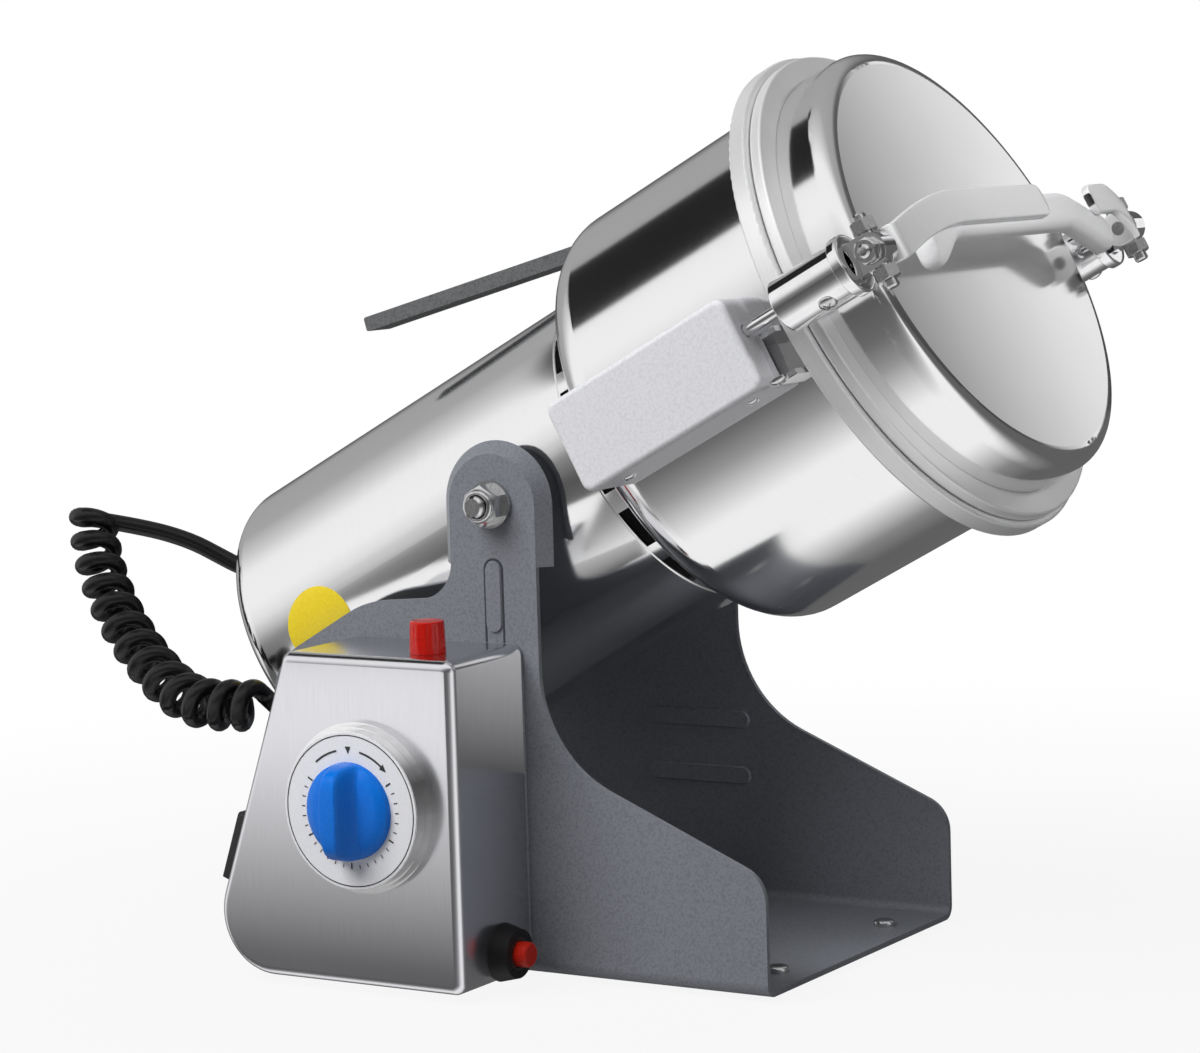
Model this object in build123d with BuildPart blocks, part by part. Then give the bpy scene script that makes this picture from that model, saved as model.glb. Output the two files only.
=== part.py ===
"""Tilting high-speed grinder: a motor and bowl that swing in a U bracket, with a control box beside it.

The frame stands on the floor: Z is up and +X is the way the bowl points. The pieces are drawn from the floor
under the swing pivot, the head along its own axis, which passes through the pivot. The finished pieces are
moved together, so that the origin lies on the floor under the middle of the rigid pieces.
"""
import os
from math import cos, radians, sin, sqrt, tan, atan2, degrees, pi

from build123d import *

os.makedirs("parts", exist_ok=True)

# Fits
RUNNING_GAP = 0.3
SHAFT_FIT = 0.05

# Bracket and feet
SHEET = 2.0
BASE_LENGTH = 215.0
BASE_WIDTH = 145.0
BEND_RADIUS = 5.0
FRONT_CORNER_HEIGHT = 44.0
FRONT_CORNER_RADIUS = 13.0
FRONT_SLOPE = 23.0
THROAT_RADIUS = 45.0
EAR_RADIUS = 18.0
EAR_RIM_DEPTH = 5.0
EAR_RIM_FLARE = 42.0
EAR_RIM_DROP = 22.0
NECK_FILLET = 14.0
SHOULDER_DROP = 34.0
SHOULDER_RUN = 56.0
SHOULDER_FALL = 3.0
SHOULDER_ROUNDING = 40.0
REAR_TOP_X = 96.0
REAR_TOP_DROP = 60.0
REAR_EDGE_HEIGHT = 60.0
REAR_ROUNDING = 22.0
BEAD_WIDTH = 7.0
BEAD_HEIGHT = 0.8
BEAD_TAPER = 30.0
NEAR_BEAD_LENGTH = 26.0
FAR_BEAD_LENGTH = 46.0
FAR_BEAD_SPACING = 22.0
FAR_BEAD_HEIGHT = 62.0
FOOT_HEIGHT = 2.0
FOOT_DIAMETER = 14.0
FOOT_INSET_X = 13.0
FOOT_INSET_Y = 31.0
FOOT_SCREW = 4.0
FOOT_SCREW_HEAD = 8.0
FOOT_SCREW_HEAD_HEIGHT = 2.4
FOOT_SCREW_TIP = 0.6

# Swing pivot
PIVOT_HEIGHT = 171.0
TILT = 28.3
STUD = 8.0
STUD_CHAMFER = 0.8
STUD_HEAD_RADIUS = 7.0
STUD_HEAD_HEIGHT = 3.0
BUSH_DIAMETER = 12.0
BOSS_DIAMETER = 22.0
WASHER_DIAMETER = 17.0
WASHER_THICKNESS = 1.6
NUT_ACROSS_FLATS = 13.0
NUT_HEIGHT = 6.0
NUT_COLLAR = 12.0
NUT_COLLAR_HEIGHT = 2.0
STUD_PROUD = 2.5

# Motor barrel and vent collar, placed along the head axis from the pivot
BARREL_GAP = 7.5
BARREL_WALL = 1.5
BARREL_REAR = -134.0
BARREL_ROUNDING = 9.0
COLLAR_START = 36.0
COLLAR_WALL = 2.0
VENT_COUNT = 16
VENT_ARC = 15.0
VENT_LENGTH = 5.5
VENT_START = 0.8
COLLAR_INSET = 0.5

# Motor inside the barrel
SHAFT_RADIUS = 5.0
SHAFT_REAR = -112.0
BEARING_RADIUS = 13.0
BEARING_WIDTH = 9.0
PLATE_THICKNESS = 4.0
PLATE_HUB_WALL = 4.0
REAR_PLATE = -104.0
FRONT_PLATE = 30.0
STATOR_START = -68.0
STATOR_LENGTH = 56.0
STATOR_WALL = 27.5
COIL_GAP = 9.5
COIL_STANDOFF = 6.0
COIL_LENGTH = 10.0
ARMATURE_GAP = 0.8
COMMUTATOR_RADIUS = 16.0
COMMUTATOR_LENGTH = 20.0
COMMUTATOR_LEAD = 22.0
BRUSH_WIDTH = 7.0
HOLDER_END_WALL = 1.0
HOLDER_SIDE_WALL = 3.0
HOLDER_HUB_GAP = 4.0
FAN_START = 14.0
FAN_GAP = 11.5
FAN_DISC = 2.0
FAN_BLADE_HEIGHT = 9.0
FAN_BLADES = 12
FAN_HUB_RADIUS = 10.0
FAN_HUB_HEIGHT = 6.5
FAN_BLADE_THICKNESS = 1.5
FAN_BLADE_INNER = 14.0
FAN_BLADE_INSET = 1.0

# Bowl and its ring
BOWL_RADIUS = 82.5
BOWL_WALL = 1.5
BOWL_BOTTOM = 47.0
BOWL_SHOULDER = 15.0
BOWL_RIM = 152.6
RING_OVERHANG = 11.0
RING_HEIGHT = 7.3
RING_EDGE = 1.0
SEAL_RADIUS = 15.0
SEAL_HEIGHT = 7.0

# Blades
BLADE_LENGTH = 136.0
BLADE_WIDTH = 16.0
BLADE_TIP_WIDTH = 8.0
BLADE_CORNER = 1.0
BLADE_THICKNESS = 2.5
BLADE_FIRST = 64.0
BLADE_PITCH = 11.0
SPACER_RADIUS = 9.0
BLADE_NUT_ACROSS = 15.0
BLADE_NUT_HEIGHT = 8.0
BLADE_NUT_CAP = 2.0

# Lid, sleeves and handle
LID_TOP = 178.6
LID_ROUNDING = 7.0
LID_WALL = 1.5
LID_RIM_OVERHANG = 8.5
LID_RIM_HEIGHT = 4.5
LID_SEAL_DEPTH = 6.0
LID_SEAL_WALL = 2.5
LATCH_RISE = -1.5
SLEEVE_STANDOFF = 19.0
SLEEVE_RADIUS = 9.5
SLEEVE_BORE = 6.0
SLEEVE_FLOOR = 3.0
SLEEVE_BOTTOM = 154.0
SLEEVE_TOP = 184.0
SLEEVE_LIP = 1.2
SLEEVE_LIP_HEIGHT = 4.0
SADDLE_WIDTH = 12.0
SADDLE_START = 161.0
SADDLE_LENGTH = 11.0
HINGE_S = 192.0
HINGE_BOLT = 5.0
HINGE_HEAD = 9.0
HINGE_HEAD_HEIGHT = 3.0
KNUCKLE_WIDTH = 8.0
KNUCKLE_RADIUS = 6.0
ARM_THICKNESS = 3.0
ARM_EAR_RADIUS = 6.5
ARM_HEIGHT = 4.0
ARM_BEND = 5.0
ARM_CORNER = 3.5
ARM_END = -28.0
ARM_LOW_EDGE = 3.0
ARM_HIGH_EDGE = 15.5
BOW_REACH = 45.0
GRIP_NEAR_GAP = 28.2
GRIP_FAR_GAP = 16.2
GRIP_THICKNESS = 9.0
GRIP_LOW_EDGE = 0.0
GRIP_HIGH_EDGE = 14.0
GRIP_FOOT_DROP = 10.5
GRIP_SHOULDER_DROP = 9.0
GRIP_FOOT_RUN = 28.0
GRIP_BOW_RADIUS = 20.0
GRIP_CORNER = 4.0
GRIP_EDGE = 2.5
CLIP_LENGTH = 29.2
CLIP_LOW_EDGE = 2.5
CLIP_HIGH_EDGE = 14.0
PIN_DIAMETER = 4.0
PIN_TOP = 177.0
PIN_ENGAGE = 12.0
PIN_COLLAR = 9.0
PIN_TRAVEL = 8.0
PIN_COLLAR_HEIGHT = 4.0

# Interlock switch on the bowl
HOUSING_START = 58.0
HOUSING_LENGTH = 79.0
HOUSING_WIDTH = 34.0
HOUSING_OFFSET = -5.0
HOUSING_HEIGHT = 25.5
HOUSING_TUCK = 3.75
HOUSING_ROUNDING = 4.0
HOUSING_EDGE = 2.0
HOUSING_WALL = 2.0
SWITCH_LENGTH = 28.0
SWITCH_DEPTH = 10.0
SWITCH_WIDTH = 16.0
LUG_LENGTH = 8.0
LUG_WIDTH = 18.0
LUG_HEIGHT = 15.0
LUG_WALL = 2.0

# Swing lever behind the bowl
LEVER_THICKNESS = 5.5
LEVER_ROUNDING = 2.2
LEVER_WIDTH = 14.0
LEVER_LENGTH = 116.0
LEVER_ANGLE = 12.7
LEVER_FOOT_OFFSET = 2.5

# Control box beside the near cheek
BOX_DEPTH = 46.5
BOX_WALL = 1.2
BOX_BOTTOM = 3.3
BOX_DROP = 49.7
BOX_RIGHT = 11.4
BOX_TOP_LEFT = -60.8
BOX_SLANT = 18.9
BOX_CORNER = 22.0
BOX_SMALL_CORNER = 4.0
BOX_EDGE = 3.5
BACK_PLATE = 1.5
BOX_SCREW = 4.0
BOX_SCREW_HEAD = 7.0
BOX_SCREW_HEAD_HEIGHT = 2.2
BOX_SCREW_MARGIN = 12.0

# Timer, lamp, breaker and rocker on the box
TIMER_X = -26.9
TIMER_RISE = 5.8
TIMER_BODY = 40.0
TIMER_BODY_DEPTH = 24.0
TIMER_SHAFT = 6.0
TIMER_SHAFT_DEPTH = 8.0
TIMER_BORE_DEPTH = 12.0
TIMER_NECK_WALL = 3.0
BEZEL_RADIUS = 30.5
BEZEL_STEP = 1.2
BEZEL_STEPS = 3
BEZEL_STEP_HEIGHT = 2.8
BEZEL_LIP = 1.4
BEZEL_LEDGE = 1.8
DIAL_THICKNESS = 1.2
DIAL_RECESS = 0.5
KNOB_RADIUS = 17.0
KNOB_BASE_HEIGHT = 5.0
KNOB_HEIGHT = 15.0
KNOB_GRIP_WIDTH = 11.0
KNOB_TAPER = 6.0
LAMP_X = -9.2
LAMP_SET = 29.5
LAMP_RADIUS = 6.5
LAMP_HEIGHT = 11.5
LAMP_TAPER = 4.0
LAMP_ROUNDING = 1.2
LAMP_STEM_RADIUS = 4.0
LAMP_STEM = 16.0
BREAKER_SET = 19.0
BREAKER_RISE = 10.6
BREAKER_BODY = 13.0
BREAKER_DEPTH = 26.0
BREAKER_NECK_WALL = 1.2
BOOT_RADIUS = 10.5
BOOT_HEIGHT = 7.0
BOOT_TAPER = 14.0
BUTTON_RADIUS = 4.6
BUTTON_PROUD = 5.0
BUTTON_ROUNDING = 1.5
BUTTON_DEPTH = 9.0
BUTTON_TRAVEL = 3.0
ROCKER_RISE = 44.7
ROCKER_LENGTH = 26.0
ROCKER_WIDTH = 16.0
ROCKER_FRAME = 2.0
ROCKER_FLANGE = 3.5
ROCKER_ROUNDING = 1.0
PADDLE_DEPTH = 6.0
ROCKER_DEPTH = 18.0
ROCKER_PROUD = 1.5

# Curly cord from the barrel's rear to the box
CORD_DIAMETER = 5.8
GLAND_RADIUS = 9.0
GLAND_TIP_RADIUS = 5.0
GLAND_LENGTH = 24.0
GLAND_RISE = 20.0
GLAND_SIDE = 6.0
GLAND_LIFT = 44.0
GLAND_SWING = 20.0
GLAND_FLANGE = 3.0
GLAND_FLANGE_RADIUS = 15.0
BOX_GLAND_RADIUS = 7.0
BOX_GLAND_LENGTH = 6.0
GLAND_NECK_WALL = 1.5
BOX_GLAND_DROP = 24.3
BOX_GLAND_SET = 22.5
LEAD_STUB = 12.0
LEAD_ARC_SHARE = 0.45
CURL_RADIUS = 7.0
CURL_COUNT = 13
CURL_STEP = 0.001
CURL_SAMPLES = 24
CURL_START = 80.0
CURL_SIDE = (0.4, 0.9, 0.0)
LEAD_ROUTE = [(-171.0, -10.0, 140.5), (-179.5, -14.5, 148.5), (-186.0, -22.0, 156.0)]
COIL_ROUTE = [
    (-202.2, -48.0, 161.5), (-200.8, -50.0, 157.1), (-198.6, -52.0, 150.3), (-194.5, -55.0, 143.0),
    (-189.5, -58.0, 135.7), (-183.6, -61.0, 128.1), (-176.3, -65.0, 121.5), (-168.1, -69.0, 115.1),
    (-158.5, -73.0, 108.8), (-147.2, -78.0, 103.2), (-135.0, -83.0, 98.8), (-122.3, -88.0, 96.5),
    (-108.6, -92.0, 96.0),
]

# Sizes and places that follow from others
HALF_WIDTH = BASE_WIDTH / 2
BARREL_RADIUS = HALF_WIDTH - SHEET - BARREL_GAP
BARREL_BORE = BARREL_RADIUS - BARREL_WALL
COLLAR_RADIUS = BARREL_RADIUS - COLLAR_INSET
STATOR_BORE = BARREL_BORE - STATOR_WALL
COIL_RADIUS = BARREL_BORE - COIL_GAP
COIL_BORE = STATOR_BORE + COIL_STANDOFF
COMMUTATOR_START = STATOR_START - COMMUTATOR_LEAD
FAN_RADIUS = BARREL_BORE - FAN_GAP
FAN_BLADE_OUTER = FAN_RADIUS - FAN_BLADE_INSET
RING_RADIUS = BOWL_RADIUS + RING_OVERHANG
LID_RIM_RADIUS = BOWL_RADIUS + LID_RIM_OVERHANG
SLEEVE_REACH = BOWL_RADIUS + SLEEVE_STANDOFF
HOUSING_FACE = BOWL_RADIUS + HOUSING_HEIGHT
HOUSING_FLOOR = BOWL_RADIUS - HOUSING_TUCK
LEVER_FOOT_RADIUS = (COLLAR_RADIUS + BOWL_RADIUS) / 2 + LEVER_FOOT_OFFSET
BOX_TOP = PIVOT_HEIGHT - BOX_DROP
TIMER_Z = (BOX_BOTTOM + BOX_TOP) / 2 + TIMER_RISE
LAMP_Y = -HALF_WIDTH - LAMP_SET
BREAKER_Y = -HALF_WIDTH - BREAKER_SET
BREAKER_Z = BOX_BOTTOM + BREAKER_RISE
ROCKER_Y = BOX_EDGE + ROCKER_WIDTH / 2 - HALF_WIDTH - BOX_DEPTH
ROCKER_Z = BOX_BOTTOM + ROCKER_RISE
BOX_GLAND_Y = -HALF_WIDTH - BOX_GLAND_SET
BOX_GLAND_Z = BOX_TOP - BOX_GLAND_DROP

# Frames of the head
AXIS_DIR = Vector(cos(radians(TILT)), 0, sin(radians(TILT)))
RISE_DIR = Vector(-sin(radians(TILT)), 0, cos(radians(TILT)))
PIVOT = Vector(0, 0, PIVOT_HEIGHT)
HEAD_AXIS = Axis(PIVOT, AXIS_DIR)
ACROSS = Plane(PIVOT, x_dir=RISE_DIR, z_dir=AXIS_DIR)
PROFILE = Plane(PIVOT, x_dir=RISE_DIR, z_dir=(0, 1, 0))
NEAR_SIDE = Plane(PIVOT, x_dir=AXIS_DIR, z_dir=(0, -1, 0))
FRONT = Plane.XZ


def head_point(along, rise, toward_near=0.0):
    """Point given along the head axis, up from it and towards the near cheek."""
    return PIVOT + AXIS_DIR * along + RISE_DIR * rise + Vector(0, -toward_near, 0)


def outline(*corners, plane=PROFILE):
    """Closed face through corners (x, y) or (x, y, radius) of a plane."""
    with BuildSketch(plane) as sketch:
        with BuildLine():
            FilletPolyline(
                *[corner[:2] for corner in corners],
                radius=[corner[2] if len(corner) == 3 else 0 for corner in corners],
                close=True,
            )
        make_face()
    return sketch.sketch


def ring_face(inner, outer, start, length):
    """Half section of a ring about the head axis."""
    return outline((inner, start), (outer, start), (outer, start + length), (inner, start + length))


def disc(radius, plane, *places, hole=0.0):
    """Equal discs, or rings, at places of a plane."""
    with BuildSketch(plane) as sketch:
        with Locations(*(places or [(0, 0)])):
            Circle(radius)
        if hole:
            with Locations(*(places or [(0, 0)])):
                Circle(hole, mode=Mode.SUBTRACT)
    return sketch.sketch


def block(width, height, plane, *places, rounding=0.0):
    """Equal rectangles at places of a plane."""
    with BuildSketch(plane) as sketch:
        with Locations(*(places or [(0, 0)])):
            if rounding:
                RectangleRounded(width, height, rounding)
            else:
                Rectangle(width, height)
    return sketch.sketch


finished = []


def keep(piece, name):
    """Label a finished piece and keep it for the export."""
    piece.part.label = name
    finished.append(piece.part)


# Bracket
HALF_LENGTH = BASE_LENGTH / 2
THROAT_HEIGHT = FRONT_CORNER_HEIGHT + (HALF_LENGTH - EAR_RADIUS) * tan(radians(FRONT_SLOPE))
SHOULDER_HEIGHT = PIVOT_HEIGHT - SHOULDER_DROP
FLOOR_TOP = FOOT_HEIGHT + SHEET
BRACKET_TOP = PIVOT_HEIGHT + EAR_RADIUS

with BuildSketch(FRONT) as cheek_outline:
    with BuildLine():
        sides = FilletPolyline(
            (EAR_RADIUS, PIVOT_HEIGHT),
            (EAR_RADIUS, THROAT_HEIGHT),
            (HALF_LENGTH, FRONT_CORNER_HEIGHT),
            (HALF_LENGTH, FOOT_HEIGHT),
            (-HALF_LENGTH, FOOT_HEIGHT),
            (-HALF_LENGTH, REAR_EDGE_HEIGHT),
            (-REAR_TOP_X, PIVOT_HEIGHT - REAR_TOP_DROP),
            (-SHOULDER_RUN, SHOULDER_HEIGHT - SHOULDER_FALL),
            (-EAR_RADIUS, SHOULDER_HEIGHT),
            (-EAR_RADIUS, PIVOT_HEIGHT),
            radius=[
                THROAT_RADIUS, FRONT_CORNER_RADIUS, 0, 0,
                REAR_ROUNDING, REAR_ROUNDING, SHOULDER_ROUNDING, NECK_FILLET,
            ],
        )
        ThreePointArc(sides @ 1, (0, BRACKET_TOP), sides @ 0)
    make_face()

INNER_HALF = HALF_WIDTH - SHEET
u_section = outline(
    (-HALF_WIDTH, BRACKET_TOP), (-HALF_WIDTH, FOOT_HEIGHT, BEND_RADIUS),
    (HALF_WIDTH, FOOT_HEIGHT, BEND_RADIUS), (HALF_WIDTH, BRACKET_TOP),
    (INNER_HALF, BRACKET_TOP), (INNER_HALF, FLOOR_TOP, BEND_RADIUS - SHEET),
    (-INNER_HALF, FLOOR_TOP, BEND_RADIUS - SHEET), (-INNER_HALF, BRACKET_TOP),
    plane=Plane.YZ,
)


def ear_face(inset):
    """Flat of an ear, drawn on the near cheek's outside and set inwards by a depth."""
    inward = Plane((0, -HALF_WIDTH + inset, PIVOT_HEIGHT), x_dir=(-1, 0, 0), z_dir=(0, 1, 0))
    with BuildSketch(inward) as sketch:
        Circle(EAR_RADIUS)
        with Locations((0, -EAR_RIM_DROP)):
            Rectangle(2 * EAR_RADIUS, 2 * EAR_RIM_DROP)
    return sketch.sketch


with BuildPart() as ear_rim:
    extrude(ear_face(0), amount=EAR_RIM_DEPTH, taper=-EAR_RIM_FLARE)
    extrude(ear_face(SHEET), amount=EAR_RIM_DEPTH, taper=-EAR_RIM_FLARE, mode=Mode.SUBTRACT)
    split(bisect_by=Plane((0, 0, PIVOT_HEIGHT - EAR_RIM_DROP)), keep=Keep.TOP)

NEAR_FACE = FRONT.offset(HALF_WIDTH)
NEAR_INNER = FRONT.offset(INNER_HALF)
FAR_INNER = FRONT.offset(-INNER_HALF)
NEAR_BEAD_Z = BOX_TOP + BEAD_WIDTH / 2 + NEAR_BEAD_LENGTH / 2
FOOT_GRID_X = BASE_LENGTH - 2 * FOOT_INSET_X
FOOT_GRID_Y = BASE_WIDTH - 2 * FOOT_INSET_Y
FOOT_PLACES = [(x * FOOT_GRID_X / 2, y * FOOT_GRID_Y / 2) for x in (-1, 1) for y in (-1, 1)]
BOX_SCREW_PLACES = [
    (BOX_RIGHT - BOX_SCREW_MARGIN, BOX_BOTTOM + 2 * BOX_SCREW_MARGIN),
    (BOX_RIGHT - BOX_SCREW_MARGIN, BOX_TOP - BOX_SCREW_MARGIN),
    (BOX_TOP_LEFT + BOX_SCREW_MARGIN, BOX_BOTTOM + 2 * BOX_SCREW_MARGIN),
    (BOX_TOP_LEFT + BOX_SCREW_MARGIN, BOX_TOP - BOX_SCREW_MARGIN),
]

with BuildPart() as bracket:
    extrude(u_section, amount=HALF_LENGTH, both=True)
    extrude(cheek_outline.sketch, amount=BASE_WIDTH, both=True, mode=Mode.INTERSECT)
    add(ear_rim.part)
    add(ear_rim.part.mirror(Plane.XZ))
    with BuildSketch(NEAR_FACE) as near_bead:
        with Locations((0, NEAR_BEAD_Z)):
            SlotOverall(NEAR_BEAD_LENGTH, BEAD_WIDTH, rotation=90)
    extrude(amount=BEAD_HEIGHT, taper=BEAD_TAPER)
    with BuildSketch(FAR_INNER) as far_beads:
        with GridLocations(0, FAR_BEAD_SPACING, 1, 2):
            with Locations((0, FAR_BEAD_HEIGHT)):
                SlotOverall(FAR_BEAD_LENGTH, BEAD_WIDTH)
    extrude(amount=BEAD_HEIGHT, taper=BEAD_TAPER)
    bush_holes = disc(BUSH_DIAMETER / 2, FRONT, (0, PIVOT_HEIGHT))
    extrude(bush_holes, amount=BASE_WIDTH, both=True, mode=Mode.SUBTRACT)
    extrude(disc(FOOT_SCREW / 2, Plane.XY, *FOOT_PLACES), amount=2 * FLOOR_TOP, mode=Mode.SUBTRACT)
    extrude(disc(BOX_SCREW / 2, NEAR_INNER, *BOX_SCREW_PLACES), amount=SHEET, mode=Mode.SUBTRACT)
keep(bracket, "bracket")

# Feet and their screws
with BuildPart() as rubber_feet:
    extrude(disc(FOOT_DIAMETER / 2, Plane.XY, *FOOT_PLACES), amount=FOOT_HEIGHT)
    screw_floor = Plane.XY.offset(FOOT_SCREW_TIP - SHAFT_FIT)
    extrude(disc(FOOT_SCREW / 2, screw_floor, *FOOT_PLACES), amount=FOOT_HEIGHT, mode=Mode.SUBTRACT)
keep(rubber_feet, "rubber_feet")

with BuildPart() as foot_screws:
    screw_heads = disc(FOOT_SCREW_HEAD / 2, Plane.XY.offset(FLOOR_TOP), *FOOT_PLACES)
    extrude(screw_heads, amount=FOOT_SCREW_HEAD_HEIGHT)
    fillet(foot_screws.edges().group_by(Axis.Z)[-1], FOOT_SCREW_HEAD_HEIGHT / 2)
    extrude(
        disc(FOOT_SCREW / 2 - SHAFT_FIT, Plane.XY.offset(FOOT_SCREW_TIP), *FOOT_PLACES),
        amount=FLOOR_TOP - FOOT_SCREW_TIP,
    )
keep(foot_screws, "foot_screws")

# Bushes that line the ear holes
with BuildPart() as pivot_bushes:
    for inner_face in (NEAR_INNER, FAR_INNER.offset(-SHEET)):
        ring = disc(BUSH_DIAMETER / 2, inner_face, (0, PIVOT_HEIGHT), hole=STUD / 2 + SHAFT_FIT)
        extrude(ring, amount=SHEET)
keep(pivot_bushes, "pivot_bushes")

# Control box shell and back plate
BOX_FRONT = HALF_WIDTH + BOX_DEPTH
BOX_FACE = FRONT.offset(BOX_FRONT)
BOX_BOTTOM_LEFT = BOX_TOP_LEFT - (BOX_TOP - BOX_BOTTOM) * tan(radians(BOX_SLANT))


def box_outline(inset, plane):
    """Outline of the control box, drawn in by an inset."""
    slant_shift = inset * (1 / cos(radians(BOX_SLANT)) + tan(radians(BOX_SLANT)))
    corner_shift = inset * (1 / cos(radians(BOX_SLANT)) - tan(radians(BOX_SLANT)))
    return outline(
        (BOX_RIGHT - inset, BOX_BOTTOM + inset, BOX_SMALL_CORNER - inset),
        (BOX_RIGHT - inset, BOX_TOP - inset, BOX_SMALL_CORNER - inset),
        (BOX_TOP_LEFT + corner_shift, BOX_TOP - inset, BOX_SMALL_CORNER - inset),
        (BOX_BOTTOM_LEFT + slant_shift, BOX_BOTTOM + inset, BOX_CORNER - inset),
        plane=plane,
    )


def slant_plane(height, across):
    """Plane on the slanted left face of the box: x up the face, y along +Y, z outwards."""
    on_face = BOX_TOP_LEFT - (BOX_TOP - height) * tan(radians(BOX_SLANT))
    up_face = (sin(radians(BOX_SLANT)), 0, cos(radians(BOX_SLANT)))
    outwards = (-cos(radians(BOX_SLANT)), 0, sin(radians(BOX_SLANT)))
    return Plane((on_face, across, height), x_dir=up_face, z_dir=outwards)


ROCKER_PLANE = slant_plane(ROCKER_Z, ROCKER_Y)
BOX_GLAND_PLANE = slant_plane(BOX_GLAND_Z, BOX_GLAND_Y)
BREAKER_PLANE = Plane.YZ.offset(BOX_RIGHT)
LAMP_PLANE = Plane.XY.offset(BOX_TOP)
BREAKER_NECK = BUTTON_RADIUS + RUNNING_GAP + BREAKER_NECK_WALL
TIMER_NECK = TIMER_SHAFT / 2 + TIMER_NECK_WALL
GLAND_NECK = CORD_DIAMETER / 2 + GLAND_NECK_WALL
ROCKER_BODY_LENGTH = ROCKER_LENGTH - ROCKER_FRAME
ROCKER_BODY_WIDTH = ROCKER_WIDTH - ROCKER_FRAME

with BuildPart() as control_box:
    extrude(box_outline(0, NEAR_FACE.offset(BACK_PLATE)), amount=BOX_DEPTH - BACK_PLATE)
    front_edges = control_box.faces().sort_by(Axis.Y)[0].edges()
    fillet(front_edges, BOX_EDGE)
    extrude(
        box_outline(BOX_WALL, NEAR_FACE.offset(BACK_PLATE)),
        amount=BOX_DEPTH - BACK_PLATE - BOX_WALL, mode=Mode.SUBTRACT,
    )
    extrude(disc(TIMER_NECK, BOX_FACE, (TIMER_X, TIMER_Z)), amount=-2 * BOX_WALL, mode=Mode.SUBTRACT)
    extrude(disc(LAMP_STEM_RADIUS, LAMP_PLANE, (LAMP_X, LAMP_Y)), amount=-2 * BOX_WALL, mode=Mode.SUBTRACT)
    extrude(
        disc(BREAKER_NECK, BREAKER_PLANE, (BREAKER_Y, BREAKER_Z)), amount=-2 * BOX_WALL, mode=Mode.SUBTRACT
    )
    extrude(
        block(ROCKER_BODY_LENGTH, ROCKER_BODY_WIDTH, ROCKER_PLANE), amount=-2 * BOX_WALL, mode=Mode.SUBTRACT
    )
    extrude(disc(GLAND_NECK, BOX_GLAND_PLANE), amount=-2 * BOX_WALL, mode=Mode.SUBTRACT)
keep(control_box, "control_box")

with BuildPart() as box_back_plate:
    extrude(box_outline(0, NEAR_FACE), amount=BACK_PLATE)
    extrude(disc(BOX_SCREW / 2, NEAR_FACE, *BOX_SCREW_PLACES), amount=BACK_PLATE, mode=Mode.SUBTRACT)
keep(box_back_plate, "box_back_plate")

with BuildPart() as box_screws:
    extrude(disc(BOX_SCREW_HEAD / 2, NEAR_INNER, *BOX_SCREW_PLACES), amount=-BOX_SCREW_HEAD_HEIGHT)
    extrude(disc(BOX_SCREW / 2 - SHAFT_FIT, NEAR_INNER, *BOX_SCREW_PLACES), amount=SHEET + 2 * BACK_PLATE)
keep(box_screws, "box_screws")

# Timer: body, bezel, dial and knob
DIAL_SEAT = BEZEL_STEPS * BEZEL_STEP_HEIGHT - DIAL_RECESS - DIAL_THICKNESS
BEZEL_BORE = BEZEL_RADIUS - (BEZEL_STEPS - 1) * BEZEL_STEP - BEZEL_LIP
TIMER_PLACE = (TIMER_X, TIMER_Z)

with BuildPart() as timer_body:
    behind_wall = BOX_FACE.offset(-BOX_WALL)
    extrude(block(TIMER_BODY, TIMER_BODY, behind_wall, TIMER_PLACE), amount=-TIMER_BODY_DEPTH)
    extrude(disc(TIMER_NECK, behind_wall, TIMER_PLACE), amount=BOX_WALL)
    extrude(
        disc(TIMER_SHAFT / 2 + SHAFT_FIT, BOX_FACE, TIMER_PLACE),
        amount=-TIMER_BORE_DEPTH, mode=Mode.SUBTRACT,
    )
keep(timer_body, "timer_body")

with BuildPart() as timer_bezel:
    for step in range(BEZEL_STEPS):
        step_face = BOX_FACE.offset(step * BEZEL_STEP_HEIGHT)
        extrude(disc(BEZEL_RADIUS - step * BEZEL_STEP, step_face, TIMER_PLACE), amount=BEZEL_STEP_HEIGHT)
    extrude(
        disc(BEZEL_BORE, BOX_FACE.offset(DIAL_SEAT), TIMER_PLACE),
        amount=DIAL_THICKNESS + DIAL_RECESS, mode=Mode.SUBTRACT,
    )
    extrude(
        disc(BEZEL_BORE - BEZEL_LEDGE, BOX_FACE, TIMER_PLACE), amount=DIAL_SEAT, mode=Mode.SUBTRACT
    )
keep(timer_bezel, "timer_bezel")

with BuildPart() as timer_dial:
    dial_face = disc(
        BEZEL_BORE - SHAFT_FIT, BOX_FACE.offset(DIAL_SEAT), TIMER_PLACE, hole=TIMER_SHAFT / 2 + RUNNING_GAP
    )
    extrude(dial_face, amount=DIAL_THICKNESS)
keep(timer_dial, "timer_dial")

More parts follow.
